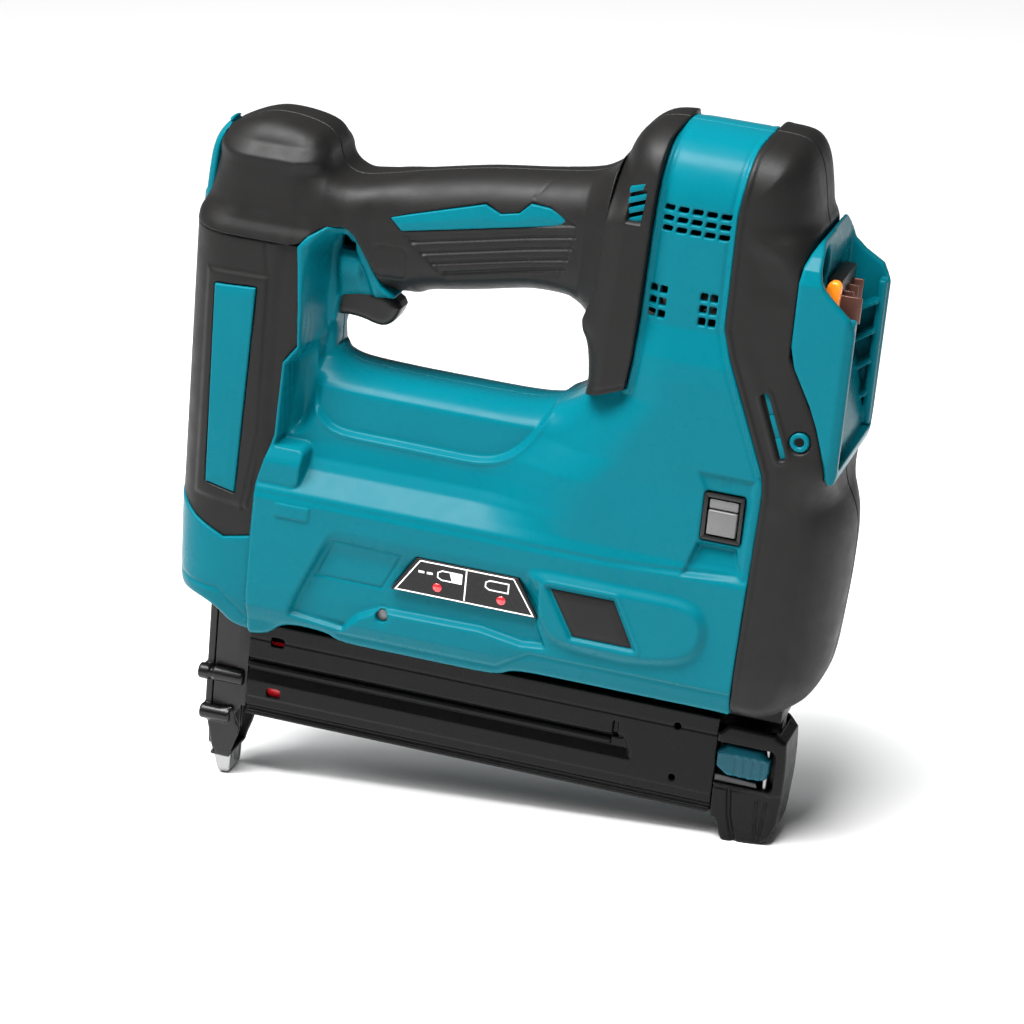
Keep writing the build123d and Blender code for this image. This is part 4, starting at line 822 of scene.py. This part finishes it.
def spine_mesh():
    """The strip on the front of the head: a raised frame round a shallow middle."""
    step = STEP * 0.6
    x0, z0 = -27.0, 223.5
    X, Z = grid(x0, -6.0, z0, 266.0, step)
    free = free_edge(X, Z)
    y, a = across(12.5, step)
    front = deep(free) + 0.036 * y ** 2
    d = smax(deep(poly(soften(SPINE), X, Z) + 0.1), front, 0.8)
    d = np.maximum(d, -front - 3.4)
    wide = deep(np.interp(Z, [224, 227, 240, 254, 259, 262], [7.0, 10.4, 10.4, 10.2, 8.0, 3.0]))
    sunk = np.maximum(-(front + 0.8), a - wide + 2.4)
    sunk = np.maximum(sunk, deep(np.maximum(230 - Z, Z - 257)))
    f = smax(smax(d, a - wide, 1.6), -sunk, 0.8)
    return mesh_field("head_strip", f, x0, -12.5, z0, step)


place(spine_mesh(), "body_plastic", "tool", "head_spine")

MOUNT = [
    (207.6, 254.4), (209.8, 256.6), (213.0, 256.6), (216.6, 253.6), (222.0, 243.0), (225.6, 237.6),
    (226.6, 234.0), (226.2, 171.6), (222.3, 171.6), (220.8, 181), (215.8, 196), (204.8, 216), (204.8, 247),
]


def mount_mesh():
    """The battery tray."""
    X, Z = grid(203.0, 229.0, 169.5, 262.0, STEP)
    d = poly(soften(MOUNT), X, Z)
    hollow = poly([(210.4, 275), (210.4, 217), (218.8, 200.5), (223.0, 182), (223.2, 177), (245, 177),
                   (245, 275)], X, Z)
    near = poly(soften([(200, 168), (226.6, 168), (226.4, 231.0), (217.4, 238.6), (213.2, 243.0),
                        (211.8, 248.6), (211.2, 254.0), (208, 259), (200, 266)]), X, Z)
    far = poly(soften([(200, 168), (226.6, 168), (226.6, 235.0), (212.4, 243.2), (210.4, 249.0), (209, 258),
                       (200, 266)]), X, Z)
    y, a = across(33.0, STEP)
    wide = np.interp(Z, [170, 236, 243, 248, 252, 255, 257.5, 259.5, 262],
                     [31, 31, 31, 29.4, 25.6, 21, 15, 6, 1])
    wide = wide - 1.4 * ramp(X, 222.5, 227.0) - 1.5 * fade(Z, 170, 184)
    f = smax(deep(d), a - deep(wide), 1.4)
    inner = smax(deep(hollow), a - np.minimum(deep(wide) - 2.8, 27.6), 1.5)
    f = smax(f, -inner, 0.7)
    rim = np.where(y < 0, deep(near), deep(far))
    f = smax(f, rim, 0.8)
    # the guide rails, the pocket and the catch at the top of the back wall, the ribs
    lip = smax(smax(deep(rect(X, Z, 222.6, 225.8, 177.5, 232.0, 1.0)), a - 29.0, 0.3), 24.0 - a, 0.9)
    f = smin(f, lip, 0.5)
    pocket = np.hypot(deep(Z - 245.5) / 7.0, (y + 13.0) / 6.0) - 1
    f = smax(f, -np.maximum(pocket * 6, deep(np.abs(X - 210.6)) - 3.2), 0.6)
    catch = np.maximum(deep(rect(X, Z, 209.5, 215.6, 233.6, 238.2, 0.6)), np.abs(y - 9.5) - 3.4)
    f = smin(f, catch, 0.6)
    for z, lean in ((183.0, 0.9), (196.0, 0.8), (208.0, 0.7), (220.0, 0.6)):
        rib = smax(deep(np.abs(Z - z - lean * (X - 216))) * 0.8 - 0.7, 21.5 - a, 0.5)
        rib = np.maximum(rib, np.maximum(deep(hollow), deep(np.maximum(X - 224.0, Z - 231))))
        f = np.minimum(f, np.maximum(rib, a - 29.0))
    return mesh_field("battery_tray", f, 203.0, -33.0, 169.5, STEP)


place(mount_mesh(), "body_plastic", "tool", "battery_mount")

# the head of the screw under the label
angles = [math.radians(30 * i) for i in range(12)]
disc = [(66.8 + 2.3 * math.cos(a), 89.9 + 2.3 * math.sin(a)) for a in angles]
place(slab([(disc, 29.6, 31.2)], "body_screws", 0.35, mirror=True), "button_grey", "tool")

# teal louvres behind the window of the column cover
louvres = [([(141.6, z), (148.2, z + 2.6), (148.2, z + 4.7), (141.6, z + 2.1)], 25.5, 28.7)
           for z in (252.6, 256.4, 260.2, 264.0)]
place(slab(louvres, "window_louvres", 0.15, mirror=True), "body_plastic", "tool")

# hook inserts, screws
place(lathe("hook_rings", [(3.5, -21.0), (3.5, -30.6), (3.1, -31.1), (2.2, -31.1), (1.7, -30.5), (1.7, -24.0),
                           (0.1, -24.0)], 212, 186, mirror=True), "body_plastic", "tool", "hook_inserts")
place(slab([([(197.2, 202.2), (199.3, 202.9), (202.5, 194.7), (200.4, 193.9)], 27.2, 30.5),
            ([(200.4, 193.9), (202.5, 194.7), (205.6, 186.8), (203.5, 186.0)], 27.2, 30.9),
            ([(203.5, 186.0), (205.6, 186.8), (208.3, 179.8), (206.2, 178.9)], 27.2, 31.2)],
           "hook_slot_floor", 0.15, mirror=True), "body_plastic", "tool")

# ---------------------------------------------------------------- nose, magazine and controls
for node, mat, body, width in (
        ("nose_body", "dark_steel", "tool", 0.5), ("depth_dial", "dark_plastic", "depth_dial", 0.25),
        ("magazine_rail", "mag_plastic", "tool", 0.5), ("pusher", "red_plastic", "pusher", 0.3),
        ("bay_plate", "copper_alloy", "tool", 0.2), ("terminals", "copper_alloy", "tool", 0.15),
        ("drive_cylinder", "aluminium", "tool", 0.3), ("gear_frame", "dark_steel", "tool", 0.25),
        ("motor_can", "steel", "tool", 0.3), ("housing_screws", "steel", "tool", 0.1)):
    refine(node, mat, body, width)
refine("latch_plate", "plate_steel", "magazine", 0.2, slot="bright_steel")


def magazine_skin():
    """The sliding cover: two pressed sides with a trough, a round rib, a shelf and a lower rail."""
    X, Z = grid(7.0, 194.0, 26.0, 69.0, STEP)
    d = poly([(9, 28.6), (190.4, 28.6), (192, 30), (192, 67.4), (9, 67.4)], X, Z)
    side = np.interp(
        Z, [26, 28.2, 29.4, 30.4, 30.9, 32.2, 32.8, 36.4, 36.8, 43.4, 44.4, 47.2, 50.8, 51.6, 52.6, 66, 70],
        [7.6, 9.0, 9.4, 9.4, 8.3, 8.3, 9.5, 9.6, 10.1, 10.1, 9.6, 8.2, 7.9, 7.9, 10.0, 10.0, 9.8])
    flat = np.interp(Z, [26, 28.2, 29.4, 30.4, 30.9, 32.2, 32.8, 36.4, 36.8, 70],
                     [7.6, 9.0, 9.4, 9.4, 8.3, 8.3, 9.5, 9.6, 10.1, 10.0])
    end = np.interp(Z, [30, 44, 58], [160, 160, 154])
    t = ramp(X, end - 0.8, end + 0.8)
    h = side * (1 - t) + flat * t
    notch = rect(X, Z, 151.8, 154.6, 50.8, 58.0, 0.6)
    h = recess(h, notch, 1.6, 0.6)
    tube = np.sqrt(np.maximum(1.55 ** 2 - (Z - 49.2) ** 2, 0))
    h = np.maximum(h, 8.3 + tube * (X < 152) - 9 * (tube <= 0))
    h = groove(h, line([(9, 60.6), (192, 60.6)], X, Z), 0.25, 0.6)
    holes = np.full(X.shape, 1e9)
    for z in (61.0, 40.2):
        holes = np.minimum(holes, np.hypot(X - 176.4, Z - z) - 1.3)
    for x0, x1, z0, z1 in ((17.6, 23.0, 58.6, 62.4), (17.2, 22.8, 37.8, 41.2)):
        holes = np.minimum(holes, rect(X, Z, x0, x1, z0, z1, 1.2))
    y = np.arange(-12.0, 12.0 + STEP, STEP * 0.6)[None, :, None]
    a = np.abs(y)
    f = smax(deep(d), a - deep(h), 0.7)
    space = np.maximum(np.maximum(a - deep(np.minimum(h - 1.5, 8.0)), deep(31.0 - Z)), deep(Z - 64.6))
    mouth = np.maximum(a - 6.3, deep(60.0 - Z))
    f = np.maximum(f, -np.minimum(space, mouth))
    f = np.maximum(f, -deep(holes))
    g = openvdb.FloatGrid(1.5)
    g.copyFromArray(np.clip(f, -1.5, 1.5).astype(np.float32))
    pts, quads = g.convertToQuads(isovalue=0.0)
    pts = pts * np.array([STEP, STEP * 0.6, STEP]) + np.array([7.0, -12.0, 26.0])
    return to_object("magazine_skin", pts, quads[:, ::-1])


place(magazine_skin(), "mag_plastic", "magazine", "magazine_cover")


def foot_mesh():
    """The end cap of the magazine: latch pocket on the left, ribs and chamfers below it."""
    step = STEP * 0.8
    X, Z = grid(190.0, 220.5, 16.5, 69.0, step)
    outline = [(192, 27.8), (194.5, 27.6), (196.6, 19.0), (198.5, 18.6), (210.5, 20.2), (213.2, 21.0),
               (216.6, 25.6), (217.6, 36), (218.2, 51), (217.2, 66), (192, 66.4)]
    d = poly(soften(outline), X, Z)
    h = np.interp(Z, [16, 19, 24, 40.5, 42, 62, 66, 70], [8.6, 9.4, 10.8, 11.2, 11.9, 12.0, 11.6, 10.6])
    h = h - 1.6 * ramp(X, 213.6, 218.0)
    h = groove(h, line([(198.4, 40), (199.4, 30), (202.0, 20)], X, Z), 1.1, 1.2)
    h = groove(h, line([(209.2, 38), (209.8, 22)], X, Z), 0.7, 0.8)
    h = groove(h, line([(212.6, 38), (211.4, 22)], X, Z), 0.7, 0.8)
    h = groove(h, line([(192, 40.8), (199, 41.0), (212, 41.6)], X, Z), 0.4, 0.8)
    pocket = rect(X, Z, 191.0, 214.4, 42.7, 59.1, 2.4)
    y, a = across(13.5, step)
    f = smax(deep(d), a - deep(h), 1.6)
    f = smax(f, -np.maximum(deep(pocket), y + 7.0), 0.5)
    for x0, x1, z0, z1, w in ((189.0, 214.4, 40.0, 70, 8.0), (189.0, 214.4, 58.0, 72, 8.6),
                              (190.9, 196.6, 30.4, 64.1, 10.0)):
        f = np.maximum(f, -np.maximum(deep(rect(X, Z, x0, x1, z0, z1, 0.2)), a - w))
    plate_back = np.maximum(deep(rect(X, Z, 192.0, 214.6, 38.0, 57.0, 0.2)), np.abs(y + 5.1) - 0.9)
    f = np.minimum(f, plate_back)
    pin = np.maximum(np.hypot(deep(X - 211.0), y + 8.8) - 1.05, deep(40.4 - Z))
    f = np.maximum(f, -pin)
    return mesh_field("magazine_end", f, 190.0, -13.5, 16.5, step)


place(foot_mesh(), "mag_plastic", "magazine", "magazine_foot")


def trigger_mesh():
    """The trigger: a paddle with a hollow for the finger and an arm up to its pin."""
    step = 0.35 * COARSE
    X, Z = grid(26.0, 58.5, 188.5, 219.0, step)
    side = poly(soften([(27.6, 199), (27.6, 190.6), (32, 191.9), (36.6, 192.4), (41.9, 191.8), (46.4, 190.5),
                        (49.6, 190.4), (52.4, 191.8), (54.6, 194.8), (56.2, 199.4), (50, 203.4), (44, 203.6),
                        (42, 209), (34, 217), (28, 217), (27.3, 206)]), X, Z)
    _, a = across(7.5, step)
    f = smax(deep(side), a - 5.9, 3.2)
    f = np.maximum(f, 1.55 - deep(np.hypot(X - 30.0, Z - 214.0)))
    return mesh_field("trigger_paddle", f, 26.0, -7.5, 188.5, step)


place(trigger_mesh(), "dark_plastic", "trigger", "trigger")


def lever_mesh():
    step = 0.3 * COARSE
    X, Z = grid(191.0, 214.5, 44.0, 60.5, step)
    d = poly(soften([(192.6, 58.2), (212.4, 57.8), (212.4, 48.2), (209.6, 46.2), (192.8, 46.6)]), X, Z)
    h = 12.5 - 0.7 * ramp(Z, 54.6, 57.8) + 0 * X
    for i in range(4):
        h = h - 0.45 * fade(np.abs(X - 200.2 - 3.3 * i), 0.5, 0.9) * fade(Z, 54.0, 55.4)
    y = np.arange(6.0, 13.6 + step, step)[None, :, None]
    f = smax(deep(d), y - deep(h), 1.6)
    f = np.maximum(f, 6.9 - y)
    f = np.maximum(f, 1.1 - np.hypot(deep(X - 211.0), y - 8.8))
    return mesh_field("latch_grip", f, 191.0, 6.0, 44.0, step, -1)


place(lever_mesh(), "latch_plastic", "latch", "latch_lever")


def bar(X, Z, y, x0, x1, z, r, at):
    """A round bar along x with round ends, on both sides of the nose."""
    along = deep(np.maximum(np.maximum(x0 + 1.0 - X, X - x1 + 1.0), 0))
    around = np.maximum(np.hypot(deep(Z - z), np.abs(y) - at) - r + 1.0, 0)
    return np.hypot(along, around) - 1.0


def arm_mesh():
    """The contact arm: its front plate, yoke, two pairs of knuckles and the cheeks down to the tip."""
    step = 0.4 * COARSE
    X, Z = grid(-13.5, 10.0, 7.5, 91.5, step)
    y, a = across(13.5, step)
    plate_side = poly([(-8.4, 70), (-8.0, 24), (-6.2, 20.4), (-5.5, 12.5), (-3.5, 8.95), (-2, 8.95),
                       (-2, 10.3), (-4.2, 10.3), (-4.95, 12), (-4.95, 88), (-7.4, 88)], X, Z)
    f = smax(deep(plate_side), a - 7.2, 1.2)
    foot = smax(deep(poly([(-3.4, 8.95), (4.0, 8.95), (4.0, 10.3), (-3.8, 10.3)], X, Z)), a - 9.4, 0.4)
    f = np.minimum(f, foot)
    cheek = poly(soften([(-6.6, 25.5), (-5.7, 21.5), (-2.7, 8.9), (4.0, 8.9), (4.6, 12), (7.1, 19.2),
                         (7.4, 22.4), (5.6, 25.2), (4.4, 30.0), (2.2, 30.0)]), X, Z)
    f = np.minimum(f, smax(smax(deep(cheek), a - 9.7, 1.4), 8.25 - a, 0.3))
    lower = bar(X, Z, y, -8.8, 3.5, 26.1, 3.0, 8.6)
    upper = bar(X, Z, y, -4.6, 7.8, 42.7, 3.0, 8.8)
    knob = bar(X, Z, y, -10.4, -5.4, 42.3, 3.1, 8.4)
    neck = bar(X, Z, y, -9.0, 4.0, 42.4, 2.3, 8.6)
    bars = np.minimum(np.minimum(lower, upper), np.minimum(knob, neck))
    bars = np.maximum(bars, np.minimum(8.25 - a, deep(X + 4.95)))
    yokes = np.minimum(rect(X, Z, -8.6, -4.95, 23.2, 29.0, 1.4), rect(X, Z, -9.8, -4.95, 39.6, 45.2, 1.6))
    f = smin(f, np.minimum(bars, np.maximum(deep(yokes), a - 8.8)), 0.8)
    f = np.minimum(f, smax(deep(rect(X, Z, -11.6, -4.95, 86, 90, 0.5)), a - 4, 0.5))
    f = np.maximum(f, np.minimum(8.15 - a, np.minimum(deep(X + 4.85), deep(Z - 10.4))))
    f = np.maximum(f, -np.maximum(deep(rect(X, Z, -0.8, 1.6, 5, 14)), a - 2.4))
    return mesh_field("contact_casting", f, -13.5, -13.5, 7.5, step)


place(arm_mesh(), "dark_steel", "contact", "contact_arm")


def tip_mesh():
    step = 0.25 * COARSE
    X, Z = grid(-5.0, 5.2, -1.2, 10.4, step)
    _, a = across(8.0, step)
    side = poly([(-3.6, 9.4), (-1.9, 3.0), (-1.0, -0.05), (2.4, 0.24), (3.5, 2.0), (3.7, 9.0)], X, Z)
    ends = deep(np.interp(Z, [-1, 0, 0.8, 2.0, 4.0, 9], [3.4, 4.2, 5.4, 6.2, 6.5, 6.5]))
    f = smax(deep(side), a - ends, 1.2)
    f = np.maximum(f, -np.maximum(deep(rect(X, Z, -0.8, 1.6, -3, 14)), a - 2.4))
    f = smax(f, -(np.hypot(deep(X - 4.6), (a - 3.9) * 0.8) - 1.5), 0.4)
    f = np.maximum(f, deep(Z - 8.85))
    return mesh_field("bare_tip", f, -5.0, -8.0, -1.2, step)


place(tip_mesh(), "bright_steel", "contact", "contact_tip")

block = slab([([(210.8, 222.2), (215.8, 222.2), (215.8, 239.6), (210.8, 239.6)], -8.3, 15.8)],
             "terminal_holder", 0.5)
place(block, "dark_plastic", "tool", "terminal_block")
lug = slab([([(211.2, 230.2), (217.6, 230.2), (218.2, 241.6), (217.0, 243.2), (214.6, 243.2), (213.2, 241.8),
              (211.2, 233.0)], -22.2, -18.2)], "orange_lug", 1.3, 4)
place(lug, "orange_plastic", "tool")

REST = {
    "board": ("circuit_boards",),
    "dark_plastic": ("switches", "motor_fan"),
    "steel": ("trigger_pin", "trigger_spring", "driver_blade", "contact_spring", "pusher_spring",
              "latch_pin", "rotor", "motor_pinion", "idler_gear", "last_gear", "drive_shaft",
              "piston_rack"),
    "aluminium": ("cylinder_head", "air_tube", "drive_piston", "compressor_piston", "compressor_cylinder"),
    "seal_rubber": ("piston_seals", "drive_bumper"),
}
for mat, names in REST.items():
    for node in names:
        nodes[node].data.materials.clear()
        nodes[node].data.materials.append(MATS[mat])

# ---------------------------------------------------------------- floor, light, camera
floor = bpy.data.meshes.new("floor")
floor.from_pydata([(-6, -6, 0), (6, -6, 0), (6, 8, 0), (-6, 8, 0)], [], [(0, 1, 2, 3)])
floor_obj = linked("floor", floor)
paper = bpy.data.materials.new("paper")
paper.use_nodes = True
put(paper.node_tree.nodes["Principled BSDF"],
    {"Base Color": (0.94, 0.94, 0.94, 1), "Roughness": 0.75, "Specular IOR Level": 0.15})
floor_obj.data.materials.append(paper)

world = bpy.data.worlds.new("studio")
bpy.context.scene.world = world
world.use_nodes = True
put(world.node_tree.nodes["Background"], {"Color": (1, 1, 1, 1), "Strength": 0.12})


def softbox(name, at, target, size, power, size_y=None):
    light = bpy.data.lights.new(name, "AREA")
    light.energy = power
    light.size = size
    if size_y:
        light.shape = "RECTANGLE"
        light.size_y = size_y
    obj = linked(name, light)
    obj.location = at
    obj.rotation_euler = (Vector(target) - Vector(at)).to_track_quat("-Z", "Y").to_euler()


softbox("top_box", (-0.10, -0.34, 1.0), (0, 0, 0.12), 0.8, 27.5, 0.30)
softbox("left_box", (-0.9, -0.5, 0.9), (0, 0, 0.15), 0.30, 4.0)
sun = bpy.data.lights.new("sky", "SUN")
sun.energy = 2.2
sun.angle = math.radians(60)
sky = linked("sky", sun)
sky.rotation_euler = Vector((-0.40, -0.30, 1.0)).to_track_quat("Z", "Y").to_euler()

camera = bpy.data.cameras.new("camera")
camera.lens = 140.625
camera.sensor_width = 36.0
camera.clip_end = 50.0
camera_obj = linked("camera", camera)
camera_obj.location = (0.39988, -1.31789, 0.61817)
camera_obj.rotation_euler = (math.radians(70.0), 0, math.radians(17.0))
bpy.context.scene.camera = camera_obj
bpy.context.scene.view_settings.view_transform = "Standard"
